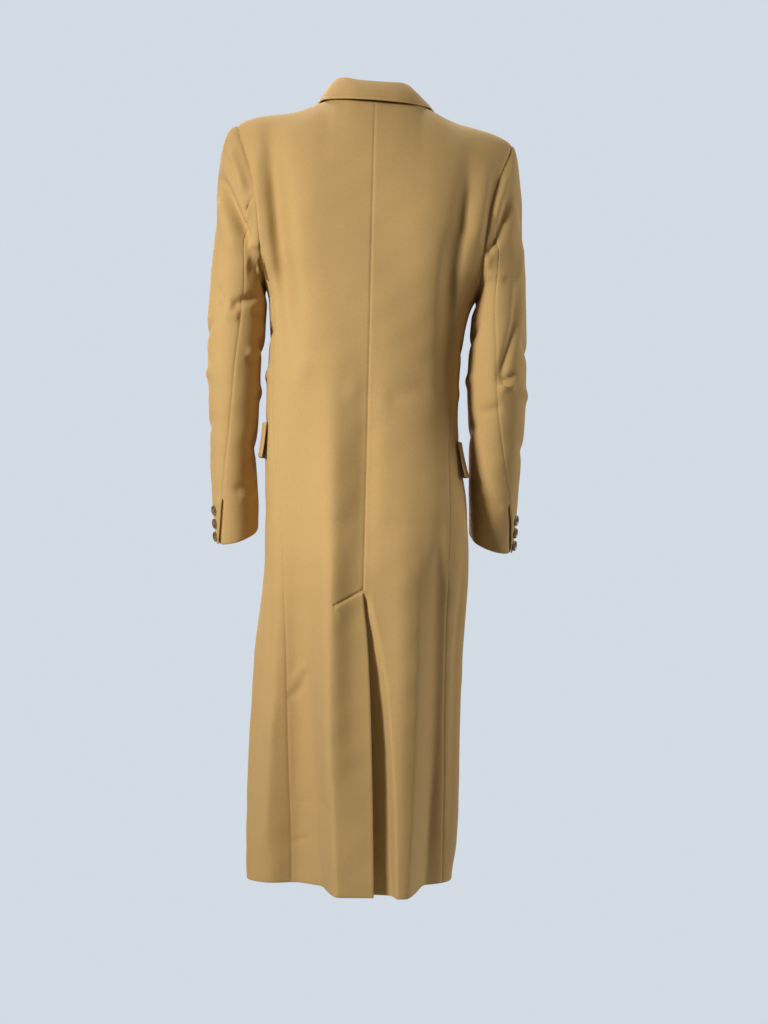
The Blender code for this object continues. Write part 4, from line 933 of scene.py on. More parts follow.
def cloth_mesh(name, piece, outer, inner):
    """A closed wall between an outer and an inner grid, with a UV map in metres of cloth."""
    cells, way = piece.cells, piece.way
    rows, columns = cells.shape
    used = np.zeros((rows + 1, columns + 1), bool)
    for j in (0, 1):
        for i in (0, 1):
            used[j:rows + j, i:columns + i] |= cells
    number = np.cumsum(used).reshape(used.shape) - 1
    count = int(used.sum())
    low, left = np.nonzero(cells)
    quads = np.stack([number[low, left], number[low, left + 1], number[low + 1, left + 1],
                      number[low + 1, left]], axis=1)[:, ::way]
    rim = rim_edges(cells, way)
    starts = np.array([number[start] for start, _ in rim])
    ends = np.array([number[end] for _, end in rim])
    walls = np.stack([ends, starts, starts + count, ends + count], axis=1)
    faces = np.concatenate([quads, quads[:, ::-1] + count, walls])
    points = np.concatenate([outer[used], inner[used]])
    mesh = bpy.data.meshes.new(name)
    mesh.from_pydata(points, [], faces.tolist())
    flat = np.stack([piece.distances["first"], piece.distances["low"]], axis=-1)[used]
    flat = np.concatenate([flat, flat])
    layer = mesh.uv_layers.new(name="cloth")
    loops = np.zeros(len(mesh.loops), int)
    mesh.loops.foreach_get("vertex_index", loops)
    layer.data.foreach_set("uv", flat[loops].astype(np.float32).ravel())
    mesh.shade_smooth()
    mesh.set_sharp_from_angle(angle=math.radians(52))
    return linked(name, mesh)


def sewn_piece(name, free_edges, extra=0.0):
    """Makes a piece of the coat's body or sleeves in place of its solid."""
    piece = sewn()[name]
    fine = creases(piece.grid, piece.normals) + undulation(piece.grid) + extra
    outer_edge, inner_edge = edge_relief(piece, free_edges)
    outer = piece.grid + piece.normals * (fine + outer_edge)[..., None]
    inner = piece.grid + piece.normals * (fine - CLOTH + inner_edge)[..., None]
    draw_back(piece, (outer, inner))
    dressed(cloth_mesh(name + "_cloth", piece, outer, inner), name, piece)


def dressed(thing, node, piece):
    """Gives a wall of cloth its wool and its body, and hides the solid that it replaces."""
    thing.data.materials.append(wool_material())
    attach(thing, "root")
    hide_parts(node)
    grid = piece.grid
    wide = float(np.linalg.norm(np.diff(grid, axis=1), axis=2).sum(axis=1).max())
    tall = float(np.linalg.norm(np.diff(grid, axis=0), axis=2).sum(axis=0).max())


@functools.lru_cache(maxsize=1)
def sewn():
    """The sewn pieces by name, with their points, cells, outward way, normals and edges."""
    pieces = {}
    for side, word in SIDES:
        back, heights, vent_row = back_grid(side)
        front = front_grid(side)
        flank = side_grid(side)
        loop, places = armhole_loop(back, flank, front)
        start, where = sleeve_start(loop, places)
        sleeve = posed(sleeve_grid(start, where, side), "sleeve")
        sleeve[0] = posed(start)
        split = int(np.argmin(np.abs(where - 2 * PATTERN_HIGH)))
        outward = {"back": (0, 1, 0), "front": (0, -1, 0), "side": (side, 0, 0),
                   "sleeve": (side, 0, 0), "under": (-side, 0, 0)}
        for name, grid, out in (("back_" + word, back, "back"), ("front_" + word, front, "front"),
                                ("side_" + word, flank, "side"),
                                ("sleeve_top_" + word, sleeve[:, :split + 1], "sleeve"),
                                ("sleeve_under_" + word, sleeve[:, split:], "under")):
            grid = grid if "sleeve" in name else posed(grid)
            cells = np.ones((grid.shape[0] - 1, grid.shape[1] - 1), bool)
            pieces[name] = SimpleNamespace(grid=grid, cells=cells, way=facing(grid, outward[out]),
                                           distances=edge_distances(grid), free={})
        pieces["back_" + word].heights = heights
        pieces["back_" + word].vent_row = vent_row
    shared_normals(list(pieces.values()))
    left = pieces["back_left"]
    left.free["first"] = np.arange(len(left.grid))[:, None] < left.vent_row
    add_underlap(pieces["back_right"])
    for _, word in SIDES:
        add_cuff_lap(pieces["sleeve_under_" + word], pieces["sleeve_top_" + word])
    return pieces


def add_cuff_lap(under, top):
    """Opens the hindarm seam at the cuff and carries the under sleeve on below the top one."""
    opening = fade((CUFF_VENT_TOP - top.grid[:, 0, 2]) / CUFF_EASE)[:, None]
    top.free["first"] = opening
    lift = CUFF_LIFT * opening * np.exp(-(top.distances["first"] / CUFF_EASE) ** 2)
    top.grid += top.normals * lift[..., None]
    columns = int((top.distances["first"][-1] < CUFF_UNDERLAP).sum())
    depth = CLOTH + CUFF_LAP_GAP
    sunk = depth * opening * fade(1 - under.distances["last"] / CUFF_SINK)
    under.grid -= under.normals * sunk[..., None]
    lap = top.grid[:, 1:columns] - top.normals[:, 1:columns] * depth
    open_rows = opening[:, 0] > 0
    lap[~open_rows] = under.grid[~open_rows, -1:]
    cells = np.zeros((len(lap) - 1, columns - 1), bool)
    cells[open_rows[:-1] & open_rows[1:]] = True
    under.cells = np.concatenate([under.cells, cells], axis=1)
    under.grid = np.concatenate([under.grid, lap], axis=1)
    under.normals = np.concatenate([under.normals, top.normals[:, 1:columns]], axis=1)
    under.free["last"] = opening
    for edge, values in under.distances.items():
        added = np.repeat(values[:, -1:], columns - 1, axis=1)
        if edge == "first":
            added = added + top.distances["first"][:, 1:columns]
        elif edge == "last":
            reach = top.distances["first"][:, columns - 1:columns]
            added = np.where(open_rows[:, None], reach - top.distances["first"][:, 1:columns], 0.0)
            values = values + np.where(open_rows[:, None], reach, 0.0)
        under.distances[edge] = np.concatenate([values, added], axis=1)


def add_underlap(piece):
    """Turns the right back's vent edge in and adds the underlap that passes below the left."""
    rows = piece.vent_row
    heights = piece.heights[:rows]
    deeper = fade((VENT_TOP - heights) / VENT_DEPTH_EASE)
    depth = VENT_DEPTH[0] + (VENT_DEPTH[1] - VENT_DEPTH[0]) * deeper
    opening = fade((VENT_TOP - heights) / VENT_OPENS)
    turned = fade(1 - piece.distances["first"][:rows] / VENT_ROLL) * (depth * opening)[:, None]
    grid = piece.grid
    grid[:rows, :, 1] -= turned
    reach = VENT_UNDERLAP * (1 - marks(VENT_UNDERLAP, True, False))[:-1]
    fold = seams["vent_fold"](heights)
    lower = body_surface(fold[:, None] + reach, heights[:, None], "back")
    lower[..., 1] -= depth[:, None]
    full = np.repeat(grid[:, :1], len(reach), axis=1)
    full[:rows] = posed(lower)
    piece.cells = np.concatenate([np.ones((len(grid) - 1, len(reach)), bool), piece.cells], axis=1)
    piece.cells[rows - 1:, :len(reach)] = False
    piece.normals = np.concatenate([np.repeat(piece.normals[:, :1], len(reach), axis=1),
                                    piece.normals], axis=1)
    piece.grid = np.concatenate([full, grid], axis=1)
    for edge, values in piece.distances.items():
        added = np.repeat(values[:, :1], len(reach), axis=1)
        if edge == "first":
            values = values.copy()
            values[:rows] += VENT_UNDERLAP
            added[:rows] = VENT_UNDERLAP - reach
        elif edge == "last":
            added = added + reach
        piece.distances[edge] = np.concatenate([added, values], axis=1)


# ---------------------------------------------------------------- what lies on the body
def front_place(out, height, side, lift):
    """A point over a front, lifted off its outer side."""
    step = 0.002
    x = side * np.asarray(out, float)
    z = np.asarray(height, float)
    here = body_surface(x, z, "front")
    across = body_surface(x + step, z, "front") - body_surface(x - step, z, "front")
    up = here - body_surface(x, z - step, "front")
    place = here + unit(np.cross(across, up)) * np.asarray(lift)[..., None]
    place[..., 1] -= lap_lift(x, z, side)
    return place


def lapel_grid(side):
    """A lapel, turned back over its front: rows from the break up, columns outward."""
    long, across = TYPICAL["lapel"]
    knots = np.arange(len(LAPEL))
    at = marks(long) * (len(LAPEL) - 1)
    row = SimpleNamespace(**{name: smooth_curve(knots, column)(at)[:, None]
                             for name, column in zip(LAPEL_COLUMNS, zip(*LAPEL))})
    share = marks(across)
    out = row.roll_out * (1 - share) + row.edge_out * share
    height = row.roll_height * (1 - share) + row.edge_height * share
    wide = np.abs(row.edge_out - row.roll_out)
    bulge_at = (share * wide - LAPEL_ROLL_WIDE) / LAPEL_ROLL_WIDE
    roll = LAPEL_ROLL * np.exp(-bulge_at ** 2) * fade(wide / 0.03)
    return front_place(out, height, side, CLOTH + LAPEL_GAP + roll)


def flap_grid(side):
    """A pocket flap: rows from its top down, columns from its back end forward."""
    share = marks(TYPICAL["flap"])
    turn = FLAP_FROM + (FLAP_TO - FLAP_FROM) * share
    grid = []
    for down in marks(FLAP_TALL):
        z = np.full(share.shape, FLAP_TOP + FLAP_SKEW * side - FLAP_TALL * down)
        here = side_surface(turn, z, side)
        outward = unit(np.cross(np.gradient(here, axis=0), (0.0, 0.0, -side)))
        grid.append(here + outward * (CLOTH + FLAP_GAP + FLAP_FLARE * down ** 1.5))
    return np.stack(grid)


def collar_profile(foot, crest, edge, outward):
    """Seven points across the collar: up its stand, over its crest and down its fall."""
    up = np.array((0.0, 0.0, 1.0))
    inner_crest = crest - outward * 0.0040 - up * 0.0030
    outer_crest = crest + outward * 0.0050 - up * 0.0035
    fall = (outer_crest + edge) / 2 + outward * 0.0020 + up * 0.0010
    return [foot, (foot + inner_crest) / 2, inner_crest, crest, outer_crest, fall, edge]


def collar_half(word):
    """Profiles of half of the collar, from its end round to the centre back, on the left side."""
    profiles = []
    up = np.array((0.0, 0.0, 1.0))
    for end in named(COLLAR_END_COLUMNS, COLLAR_ENDS[::-1]):
        inner = [end.crest_out - inset for inset in COLLAR_END_INSETS]
        outs = (*inner, end.crest_out + COLLAR_END_TURN, end.middle_out, end.edge_out)
        fall = (end.middle_height - end.crest_height) * COLLAR_END_TURN
        fall /= end.middle_out - end.crest_out
        heights = (*[end.crest_height] * len(inner), end.crest_height + fall, end.middle_height,
                   end.edge_height)
        near_neck = fade((end.crest_height + 0.050) / 0.030)
        lifts = np.array(COLLAR_END_LIFTS)
        lifts[len(inner):] += COLLAR_END_RISE * near_neck
        profiles.append(list(front_place(outs, heights, 1, lifts)))
    step = math.radians(2)
    for at in named(COLLAR_COLUMNS, COLLAR[word][::-1]):
        turn = math.radians(at.angle)
        here = body_surface(*neck_place(turn), "back")
        ahead = body_surface(*neck_place(turn + step), "back")
        behind = body_surface(*neck_place(max(turn - step, 0.0)), "back")
        outward = np.cross(ahead - behind, (0.0, 0.0, -1.0))
        outward[0] = 0.0 if at.angle == 0 else outward[0]
        outward = unit(outward)
        foot = here - outward * (2 * CLOTH + STAND_GAP)
        crest = foot - outward * at.crest_in + up * at.crest_up
        edge = foot + outward * at.edge_out + up * at.edge_up
        profile = collar_profile(foot, crest, edge, outward)
        profile[0] = foot + outward * STAND_GAP * 0.8 - up * STAND_TURNED_IN
        profiles.append(profile)
    return np.array(profiles)


def resampled(rough, at, axis):
    """A grid of points taken at given places between its own, along one of its axes."""
    rough = np.moveaxis(rough, axis, 0)
    knots = np.arange(len(rough))
    flat = rough.reshape(len(rough), -1)
    fine = np.stack([smooth_curve(knots, column)(at) for column in flat.T], axis=1)
    return np.moveaxis(fine.reshape((len(at),) + rough.shape[1:]), 0, axis)


def collar_grid():
    """The whole collar: rows along it from left to right, columns across it from its foot."""
    left = collar_half("left")
    right = collar_half("right")[::-1][1:] * np.array((-1.0, 1.0, 1.0))
    rough = np.concatenate([left, right])
    long, across = TYPICAL["collar"]
    along = resampled(rough, marks(long) * (len(rough) - 1), 0)
    return resampled(along, marks(across) * (rough.shape[1] - 1), 1)


def laid_piece(name, grid, outward):
    """A finished piece that lies on the body, in place of its solid."""
    cells = np.ones((grid.shape[0] - 1, grid.shape[1] - 1), bool)
    middle = grid[:, -(grid.shape[1] // 3):] if name == "collar" else grid
    piece = SimpleNamespace(grid=grid, cells=cells, way=facing(middle, outward),
                            distances=edge_distances(grid), free={})
    shared_normals([piece])
    outer_edge, inner_edge = edge_relief(piece, tuple(piece.distances))
    piece.outer = grid + piece.normals * outer_edge[..., None]
    inner = grid + piece.normals * (inner_edge - CLOTH)[..., None]
    draw_back(piece, (piece.outer, inner))
    dressed(cloth_mesh(name + "_cloth", piece, piece.outer, inner), name, piece)
    return piece


# ---------------------------------------------------------------- stitches
def stitches(name, lines, pitch):
    """Short thread stitches along lines of points and normals, as one piece."""
    points, faces = [], []
    for line, normals in lines:
        along = lengths_along(line)
        for mark in np.arange(pitch / 2, along[-1], pitch):
            ends = [np.array([np.interp(mark + d, along, line[:, k]) for k in range(3)])
                    for d in (-STITCH_LONG / 2, STITCH_LONG / 2)]
            out = unit(np.array([np.interp(mark, along, normals[:, k]) for k in range(3)]))
            way = ends[1] - ends[0]
            aside = np.cross(out, unit(way)) * STITCH_THICK
            middle = (ends[0] + ends[1]) / 2 + out * STITCH_THICK * 0.4
            sunk = out * STITCH_THICK * 0.9
            first = len(points)
            ring = [aside, out * STITCH_THICK, -aside, -out * STITCH_THICK]
            points += [ends[0] - sunk] + [middle - way * 0.25 + r for r in ring]
            points += [middle + way * 0.25 + r for r in ring] + [ends[1] - sunk]
            for k in range(4):
                after = (k + 1) % 4
                faces.append([first, first + 1 + after, first + 1 + k])
                faces.append([first + 1 + k, first + 1 + after, first + 5 + after, first + 5 + k])
                faces.append([first + 9, first + 5 + k, first + 5 + after])
    mesh = bpy.data.meshes.new(name)
    mesh.from_pydata(points, [], faces)
    work = bmesh.new()
    work.from_mesh(mesh)
    bmesh.ops.recalc_face_normals(work, faces=work.faces)
    work.to_mesh(mesh)
    work.free()
    mesh.shade_smooth()
    mesh.materials.append(thread_material())
    thing = linked(name, mesh)
    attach(thing, "root")


def line_inside(piece, edge, inset, keep=slice(None)):
    """The line of a piece's outer points that runs a set distance inside one of its edges."""
    away = piece.distances[edge]
    grid, normals = piece.outer, piece.normals
    if edge in ("low", "top"):
        away, grid, normals = away.T, grid.transpose(1, 0, 2), normals.transpose(1, 0, 2)
    points, ways = [], []
    for j in range(len(grid))[keep]:
        order = np.argsort(away[j])
        points.append([np.interp(inset, away[j][order], grid[j][order, k]) for k in range(3)])
        ways.append([np.interp(inset, away[j][order], normals[j][order, k]) for k in range(3)])
    return np.array(points), np.array(ways)


# ---------------------------------------------------------------- finishes
def new_material(name):
    """A new node material: a function that adds a node and one that sets the shader's inputs."""
    material = bpy.data.materials.new(name)
    material.use_nodes = True
    tree = material.node_tree

    def set_inputs(node, inputs):
        for key, value in inputs.items():
            socket = node.inputs[key.replace("_", " ")]
            if isinstance(value, bpy.types.NodeSocket):
                tree.links.new(value, socket)
            else:
                socket.default_value = value

    def add(kind, **inputs):
        node = tree.nodes.new(kind)
        set_inputs(node, inputs)
        return node

    def finish(**inputs):
        set_inputs(tree.nodes["Principled BSDF"], inputs)
        return material

    return add, finish


def blend_colours(add, factor, one, other):
    """The colour between two, by a factor from 0 to 1. The node's sockets go by their numbers."""
    node = add("ShaderNodeMix")
    node.data_type = "RGBA"
    links = node.id_data.links
    links.new(factor, node.inputs[0])
    for index, colour in ((6, one), (7, other)):
        if isinstance(colour, bpy.types.NodeSocket):
            links.new(colour, node.inputs[index])
        else:
            node.inputs[index].default_value = (*colour, 1.0)
    return node.outputs[2]


def spread(add, value, low, high, to_low=0.0, to_high=1.0):
    """The value, stretched from one range to another and held at its ends."""
    node = add("ShaderNodeMapRange", Value=value, From_Min=low, From_Max=high, To_Min=to_low,
               To_Max=to_high)
    return node.outputs["Result"]


@functools.lru_cache(maxsize=1)
def wool_material():
    """Brushed camel wool: a faint twill under a soft nap, painted shade between the fibres, and
    slow variation in its colour.
    """
    user = settings()
    add, finish = new_material("camel wool")
    where = add("ShaderNodeTexCoord")
    cloth = where.outputs["UV"]
    place = where.outputs["Object"]

    def noise(vector, scale, detail, **more):
        return add("ShaderNodeTexNoise", Vector=vector, Scale=scale, Detail=detail,
                   **more).outputs["Fac"]

    fibres = noise(place, 1500.0, 3.0, Roughness=0.65)
    brushed = add("ShaderNodeMapping", Vector=cloth, Scale=(900.0, 170.0, 1.0)).outputs["Vector"]
    nap = noise(brushed, 1.0, 2.0)
    slow = noise(place, 16.0, 2.0)
    mottle = noise(place, 170.0, 3.0)
    turned = add("ShaderNodeMapping", Vector=cloth, Rotation=(0.0, 0.0, math.radians(58))
                 ).outputs["Vector"]
    twill = add("ShaderNodeTexWave", Vector=turned, Scale=230.0, Distortion=1.4, Detail=1.0,
                Detail_Scale=3.0).outputs["Fac"]
    pale = [min(1.0, c * 1.12) for c in user.wool]
    dull = [c * 0.90 for c in user.wool]
    # Painted shade: where the fibre noise is low, which is where the fibre bump sinks, the wool is
    # darkened towards its shade colour.
    deep = spread(add, fibres, 0.30, 0.62, 0.85, 0.0)
    base = blend_colours(add, deep, user.wool, user.wool_fibre_shade)
    for pattern, low, high, share, tint in ((nap, 0.45, 0.80, 0.35, pale),
                                            (slow, 0.35, 0.75, 0.30, dull),
                                            (mottle, 0.40, 0.80, 0.28, dull)):
        base = blend_colours(add, spread(add, pattern, low, high, 0.0, share), base, tint)
    relief = {}
    for height, strength, distance in ((twill, 0.10, 0.00035), (nap, 0.22, 0.0006),
                                       (fibres, 0.30, 0.0005)):
        bump = add("ShaderNodeBump", Height=height, Strength=strength, Distance=distance, **relief)
        relief = {"Normal": bump.outputs["Normal"]}
    return finish(Base_Color=base, Roughness=spread(add, nap, 0.3, 0.8, 0.82, 0.95),
                  Specular_IOR_Level=0.25, Sheen_Weight=0.12, Sheen_Roughness=0.45,
                  Sheen_Tint=(1.0, 0.86, 0.62, 1.0), **relief)


@functools.lru_cache(maxsize=1)
def thread_material():
    """Twisted silk thread, a little deeper than the cloth."""
    thread = settings().thread
    add, finish = new_material("sewing thread")
    place = add("ShaderNodeTexCoord").outputs["Object"]
    ply = add("ShaderNodeTexWave", Vector=place, Scale=900.0, Distortion=2.0).outputs["Fac"]
    paler = [min(1.0, c * 1.5) for c in thread]
    bump = add("ShaderNodeBump", Height=ply, Strength=0.3, Distance=0.0002)
    return finish(Base_Color=blend_colours(add, ply, thread, paler), Roughness=0.55,
                  Normal=bump.outputs["Normal"])


@functools.lru_cache(maxsize=1)
def horn_material():
    """Brown horn with paler streaks and a satin polish."""
    user = settings()
    add, finish = new_material("brown horn")
    place = add("ShaderNodeTexCoord").outputs["Object"]
    stretched = add("ShaderNodeMapping", Vector=place, Scale=(120.0, 120.0, 420.0)
                    ).outputs["Vector"]
    streaks = add("ShaderNodeTexNoise", Vector=stretched, Scale=1.0, Detail=4.0,
                  Distortion=1.2).outputs["Fac"]
    colour = blend_colours(add, spread(add, streaks, 0.42, 0.72), user.horn, user.horn_pale)
    bump = add("ShaderNodeBump", Height=streaks, Strength=0.15, Distance=0.0003)
    return finish(Base_Color=colour, Roughness=spread(add, streaks, 0.3, 0.8, 0.28, 0.42),
                  Coat_Weight=0.25, Coat_Roughness=0.25, Normal=bump.outputs["Normal"])


@functools.lru_cache(maxsize=1)
def backdrop_material():
    """Plain pale paper."""
    add, finish = new_material("backdrop paper")
    place = add("ShaderNodeTexCoord").outputs["Object"]
    tooth = add("ShaderNodeTexNoise", Vector=place, Scale=400.0).outputs["Fac"]
    paper = settings().backdrop
    colour = blend_colours(add, tooth, paper, [c * 0.99 for c in paper])
    return finish(Base_Color=colour, Roughness=0.95, Specular_IOR_Level=0.1)


# ---------------------------------------------------------------- buttons, shaped as by hand
def select_faces(test):
    """Selects the faces of the mesh in edit mode that pass a test, and nothing else."""
    bpy.ops.mesh.select_all(action="DESELECT")
    work = bmesh.from_edit_mesh(bpy.context.edit_object.data)
    for face in work.faces:
        face.select_set(bool(test(face)))
    bmesh.update_edit_mesh(bpy.context.edit_object.data)


def round_rod(radius, long, middle, turn=(0.0, 0.0, 0.0), corners=12):
    """A cylinder, placed and turned."""
    bpy.ops.object.select_all(action="DESELECT")
    bpy.ops.mesh.primitive_cylinder_add(vertices=corners, radius=radius, depth=long,
                                        location=middle, rotation=turn)
    bpy.ops.object.transform_apply(location=True, rotation=True, scale=True)
    return bpy.context.object


def thread_rod(*measures):
    """A cylinder of thread, with the materials of a button in their order."""
    rod = round_rod(*measures)
    rod.data.materials.append(horn_material())
    rod.data.materials.append(thread_material())
    for face in rod.data.polygons:
        face.material_index = 1
    return rod


def shaped_button(name, radius):
    """A dished four-hole button, its back at the origin and its face towards +Z."""
    thick = BUTTON_THICKNESS * radius
    thing = round_rod(radius, thick, (0.0, 0.0, thick / 2), corners=settings().button_corners)
    thing.name = name
    bpy.ops.object.mode_set(mode="EDIT")
    bpy.ops.mesh.select_mode(type="FACE")
    select_faces(lambda face: face.normal.z > 0.9)
    for inset, rise in BUTTON_DISH:
        bpy.ops.mesh.inset(thickness=inset * radius)
        bpy.ops.transform.translate(value=(0.0, 0.0, rise * radius))
    select_faces(lambda face: face.normal.z < -0.9)
    bpy.ops.mesh.inset(thickness=BUTTON_DISH[-1][0] * radius)
    bpy.ops.object.mode_set(mode="OBJECT")
    for k in range(4):
        turn = math.radians(45 + 90 * k)
        out = BUTTON_HOLE_OUT * radius
        middle = (out * math.cos(turn), out * math.sin(turn), thick / 2)
        rod = round_rod(BUTTON_HOLE * radius, 3 * thick, middle)
        hole = thing.modifiers.new("hole", "BOOLEAN")
        hole.operation = "DIFFERENCE"
        hole.object = rod
        hole.solver = "EXACT"
        bpy.context.view_layer.objects.active = thing
        bpy.ops.object.modifier_apply(modifier=hole.name)
        bpy.data.objects.remove(rod)
    soft = thing.modifiers.new("soft edges", "BEVEL")
    soft.width = 0.03 * radius
    soft.segments = 2
    soft.limit_method = "ANGLE"
    soft.angle_limit = math.radians(50)
    bpy.ops.object.modifier_apply(modifier=soft.name)
    thing.data.materials.append(horn_material())
    thing.data.materials.append(thread_material())
    # Two threads cross over the holes, and a shank of thread holds the button off the cloth.
    threads = [thread_rod(0.055 * radius, 0.46 * radius,
                          (0.0, 0.0, thick * 0.90 + k * 0.03 * radius),
                          (math.radians(90), 0.0, math.radians(turn)), 10)
               for k, turn in ((0, 45), (1, 135))]
    shank = thread_rod(0.20 * radius, BUTTON_GAP + 0.0012, (0.0, 0.0, -BUTTON_GAP / 2 + 0.0004))
    bpy.ops.object.select_all(action="DESELECT")
    for part in (*threads, shank, thing):
        part.select_set(True)
    bpy.context.view_layer.objects.active = thing
    bpy.ops.object.join()
    thing.data.shade_smooth()
    thing.data.set_sharp_from_angle(angle=math.radians(35))
    return thing


def placed_copy(pattern, node, centre, axis):
    """A copy of a button with its own mesh, its face turned along the axis."""
    mesh = pattern.data.copy()
    turn = Vector(axis).to_track_quat("Z", "Y").to_matrix().to_4x4()
    mesh.transform(Matrix.Translation(Vector(centre)) @ turn)
    thing = linked(node + "_horn", mesh)
    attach(thing, "root")
    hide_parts(node)


# ---------------------------------------------------------------- operators, one for each group
class OVERCOAT_OT_backs(bpy.types.Operator):
    """Cut and hang the two halves of the back, with the vent and its underlap."""

    bl_idname = "overcoat.backs"
    bl_label = "Backs and vent"

    def execute(self, context):
        sewn_piece("back_left", ("low",), vent_stitch_relief(sewn()["back_left"].grid))
        sewn_piece("back_right", ("low",))
        return {"FINISHED"}


class OVERCOAT_OT_sides(bpy.types.Operator):
    """Cut and hang the side bodies, between the backs and the fronts."""

    bl_idname = "overcoat.sides"
    bl_label = "Side bodies"

    def execute(self, context):
        for _, word in SIDES:
            sewn_piece("side_" + word, ("low",))
        return {"FINISHED"}


class OVERCOAT_OT_fronts(bpy.types.Operator):
    """Cut and hang the fronts, the right lapping over the left."""

    bl_idname = "overcoat.fronts"
    bl_label = "Fronts"

    def execute(self, context):
        for _, word in SIDES:
            sewn_piece("front_" + word, ("first", "low"))
        return {"FINISHED"}


class OVERCOAT_OT_sleeves(bpy.types.Operator):
    """Cut and set the two-piece sleeves, with a vent at each cuff."""

    bl_idname = "overcoat.sleeves"
    bl_label = "Sleeves"

    def execute(self, context):
        for _, word in SIDES:
            for part in ("sleeve_top_", "sleeve_under_"):
                sewn_piece(part + word, ("top",))
        return {"FINISHED"}


class OVERCOAT_OT_collar(bpy.types.Operator):
    """Lay the collar and the lapels, with pick stitches along their edges."""

    bl_idname = "overcoat.collar"
    bl_label = "Collar and lapels"

    def execute(self, context):
        pitch = settings().stitch_pitch
        collar = laid_piece("collar", posed(collar_grid()), (0, 1, 0))
        stitches("collar_stitches", [line_inside(collar, "last", PICK_INSET)], pitch)
        lines = []
        for side, word in SIDES:
            lapel = laid_piece("lapel_" + word, posed(lapel_grid(side)), (0, -1, 0))
            lines.append(line_inside(lapel, "last", PICK_INSET, slice(4, -6)))
        stitches("lapel_stitches", lines, pitch)
        return {"FINISHED"}


class OVERCOAT_OT_flaps(bpy.types.Operator):
    """Lay a flap over each side pocket."""

    bl_idname = "overcoat.flaps"
    bl_label = "Pocket flaps"

    def execute(self, context):
        lines = []
        for side, word in SIDES:
            flap = laid_piece("flap_" + word, posed(flap_grid(side)), (side, 0, 0))
            lines.append(line_inside(flap, "top", FLAP_PICK_INSET, slice(2, -2)))
        stitches("flap_stitches", lines, settings().stitch_pitch)
        return {"FINISHED"}


class OVERCOAT_OT_buttons(bpy.types.Operator):
    """Turn the horn buttons and sew them on the front and the cuffs."""

    bl_idname = "overcoat.buttons"
    bl_label = "Buttons"

    def execute(self, context):
        large = shaped_button("front_button_pattern", FRONT_BUTTON)
        for k, height in enumerate(FRONT_BUTTONS):
            centre = posed(front_place(0.0, height, -1, BUTTON_GAP))
            placed_copy(large, f"front_button_{k + 1}", centre, (0.0, -1.0, 0.0))
        small = shaped_button("cuff_button_pattern", CUFF_BUTTON)
        for side, word in SIDES:
            turn = CUFF_BUTTON_TURN[word]
            for k, height in enumerate(CUFF_BUTTONS):
                here = arm_ring(turn, height, side)
                ahead = arm_ring(turn + 0.1, height, side)
                above = arm_ring(turn, height + 0.01, side)
                axis = unit(np.cross(ahead - here, above - here)) * -side
                lift = 0.0008 + 0.3 * CUFF_BUTTON_TILT * CUFF_BUTTON
                centre = posed(here + axis * lift, "sleeve")
                tipped = axis + np.array((0.0, CUFF_BUTTON_TILT, 0.0))
                placed_copy(small, f"cuff_button_{word}_{k + 1}", centre, tipped)
        for pattern in (large, small):
            bpy.data.objects.remove(pattern)
        return {"FINISHED"}


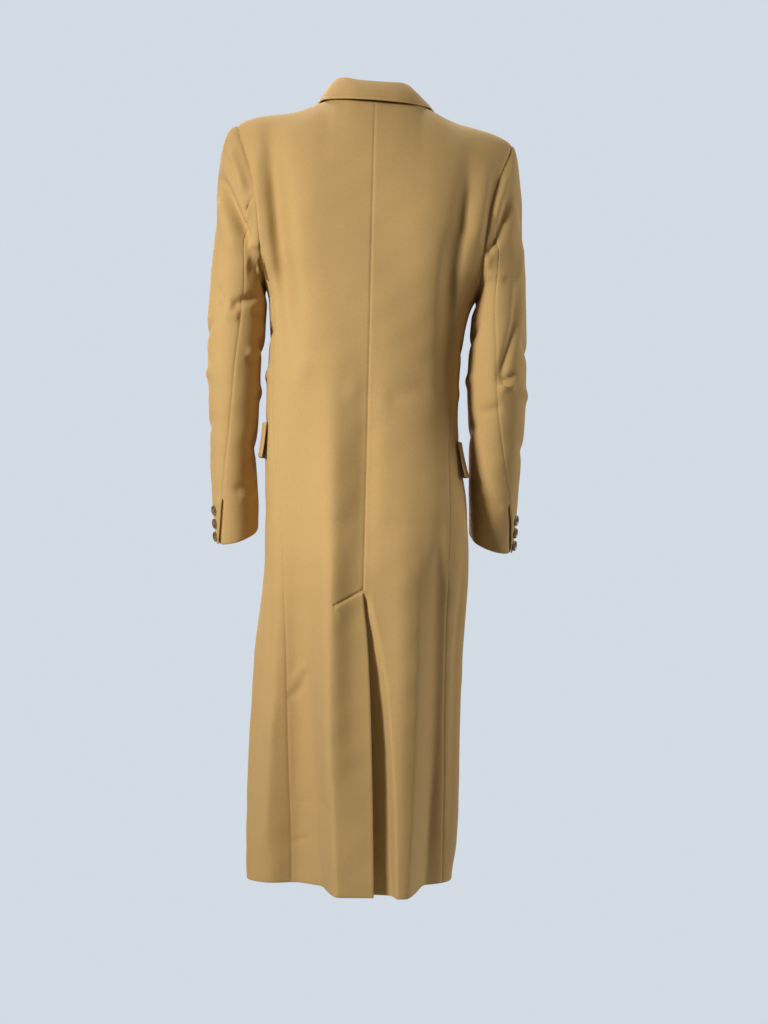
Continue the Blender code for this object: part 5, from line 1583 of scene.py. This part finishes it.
class OVERCOAT_OT_stage(bpy.types.Operator):
    """Set up the round paper floor, the pale wall, the lights and the camera."""

    bl_idname = "overcoat.stage"
    bl_label = "Stage, lights and camera"

    def execute(self, context):
        scene = context.scene
        floor = round_rod(FLOOR_RADIUS, FLOOR_THICK, (0.0, 0.0, FLOOR - FLOOR_THICK / 2),
                          corners=128)
        floor.name = "floor"
        bpy.ops.object.mode_set(mode="EDIT")
        bpy.ops.mesh.select_mode(type="FACE")
        select_faces(lambda face: face.normal.z > 0.9)
        bpy.ops.mesh.bevel(offset=0.012, segments=4)
        bpy.ops.object.mode_set(mode="OBJECT")
        bpy.ops.object.shade_smooth_by_angle(angle=math.radians(40))
        floor.data.materials.append(backdrop_material())
        scene.view_settings.view_transform = "Standard"
        self.lights(scene)
        self.camera(scene)
        return {"FINISHED"}

    def lights(self, scene):
        """Four lights round the coat, and a dim warm room that the camera sees as a pale wall."""
        world = scene.world or bpy.data.worlds.new("studio")
        scene.world = world
        world.use_nodes = True
        tree = world.node_tree
        room = tree.nodes["Background"]
        room.inputs["Color"].default_value = ROOM_COLOUR
        room.inputs["Strength"].default_value = ROOM_STRENGTH
        wall = tree.nodes.new("ShaderNodeBackground")
        wall.inputs["Color"].default_value = (*settings().backdrop, 1.0)
        path = tree.nodes.new("ShaderNodeLightPath")
        seen = tree.nodes.new("ShaderNodeMixShader")
        tree.links.new(path.outputs["Is Camera Ray"], seen.inputs[0])
        tree.links.new(room.outputs[0], seen.inputs[1])
        tree.links.new(wall.outputs[0], seen.inputs[2])
        tree.links.new(seen.outputs[0], tree.nodes["World Output"].inputs["Surface"])
        for light in named(LIGHT_COLUMNS, LIGHTS):
            lamp = bpy.data.lights.new(light.name, "AREA")
            lamp.energy = light.power
            lamp.size = light.size
            lamp.spread = math.radians(light.spread)
            thing = linked(light.name, lamp)
            thing.location = light.place
            way = Vector(light.aim) - Vector(light.place)
            thing.rotation_euler = way.to_track_quat("-Z", "Y").to_euler()

    def camera(self, scene):
        """Behind the coat, level with its hips and turned a little about its own axis."""
        lens = bpy.data.cameras.new("camera")
        lens.sensor_fit = "VERTICAL"
        lens.sensor_height = SENSOR_TALL
        lens.lens = FOCAL_LENGTH
        lens.dof.use_dof = False
        thing = linked("camera", lens)
        level = Matrix.Rotation(math.pi, 4, "Z") @ Matrix.Rotation(math.pi / 2, 4, "X")
        roll = Matrix.Rotation(CAMERA_ROLL, 4, "Z")
        thing.matrix_world = Matrix.Translation(CAMERA_PLACE) @ level @ roll
        scene.camera = thing


class OVERCOAT_PT_panel(bpy.types.Panel):
    """Lists the coat's settings and the steps that make it."""

    bl_idname = "OVERCOAT_PT_panel"
    bl_label = "Overcoat"
    bl_space_type = "VIEW_3D"
    bl_region_type = "UI"
    bl_category = "Overcoat"

    def draw(self, context):
        for name in OvercoatSettings.__annotations__:
            self.layout.prop(context.scene.overcoat, name)
        for step in STEPS:
            self.layout.operator(step.bl_idname)


STEPS = (OVERCOAT_OT_backs, OVERCOAT_OT_sides, OVERCOAT_OT_fronts, OVERCOAT_OT_sleeves,
         OVERCOAT_OT_collar, OVERCOAT_OT_flaps, OVERCOAT_OT_buttons, OVERCOAT_OT_stage)


def register():
    for kind in (OvercoatSettings, *STEPS, OVERCOAT_PT_panel):
        bpy.utils.register_class(kind)
    bpy.types.Scene.overcoat = PointerProperty(type=OvercoatSettings)


def unregister():
    del bpy.types.Scene.overcoat
    for kind in (OVERCOAT_PT_panel, *reversed(STEPS), OvercoatSettings):
        bpy.utils.unregister_class(kind)


def main():
    register()
    for step in STEPS:
        group, name = step.bl_idname.split(".")
        getattr(getattr(bpy.ops, group), name)()


if __name__ == "__main__":
    main()
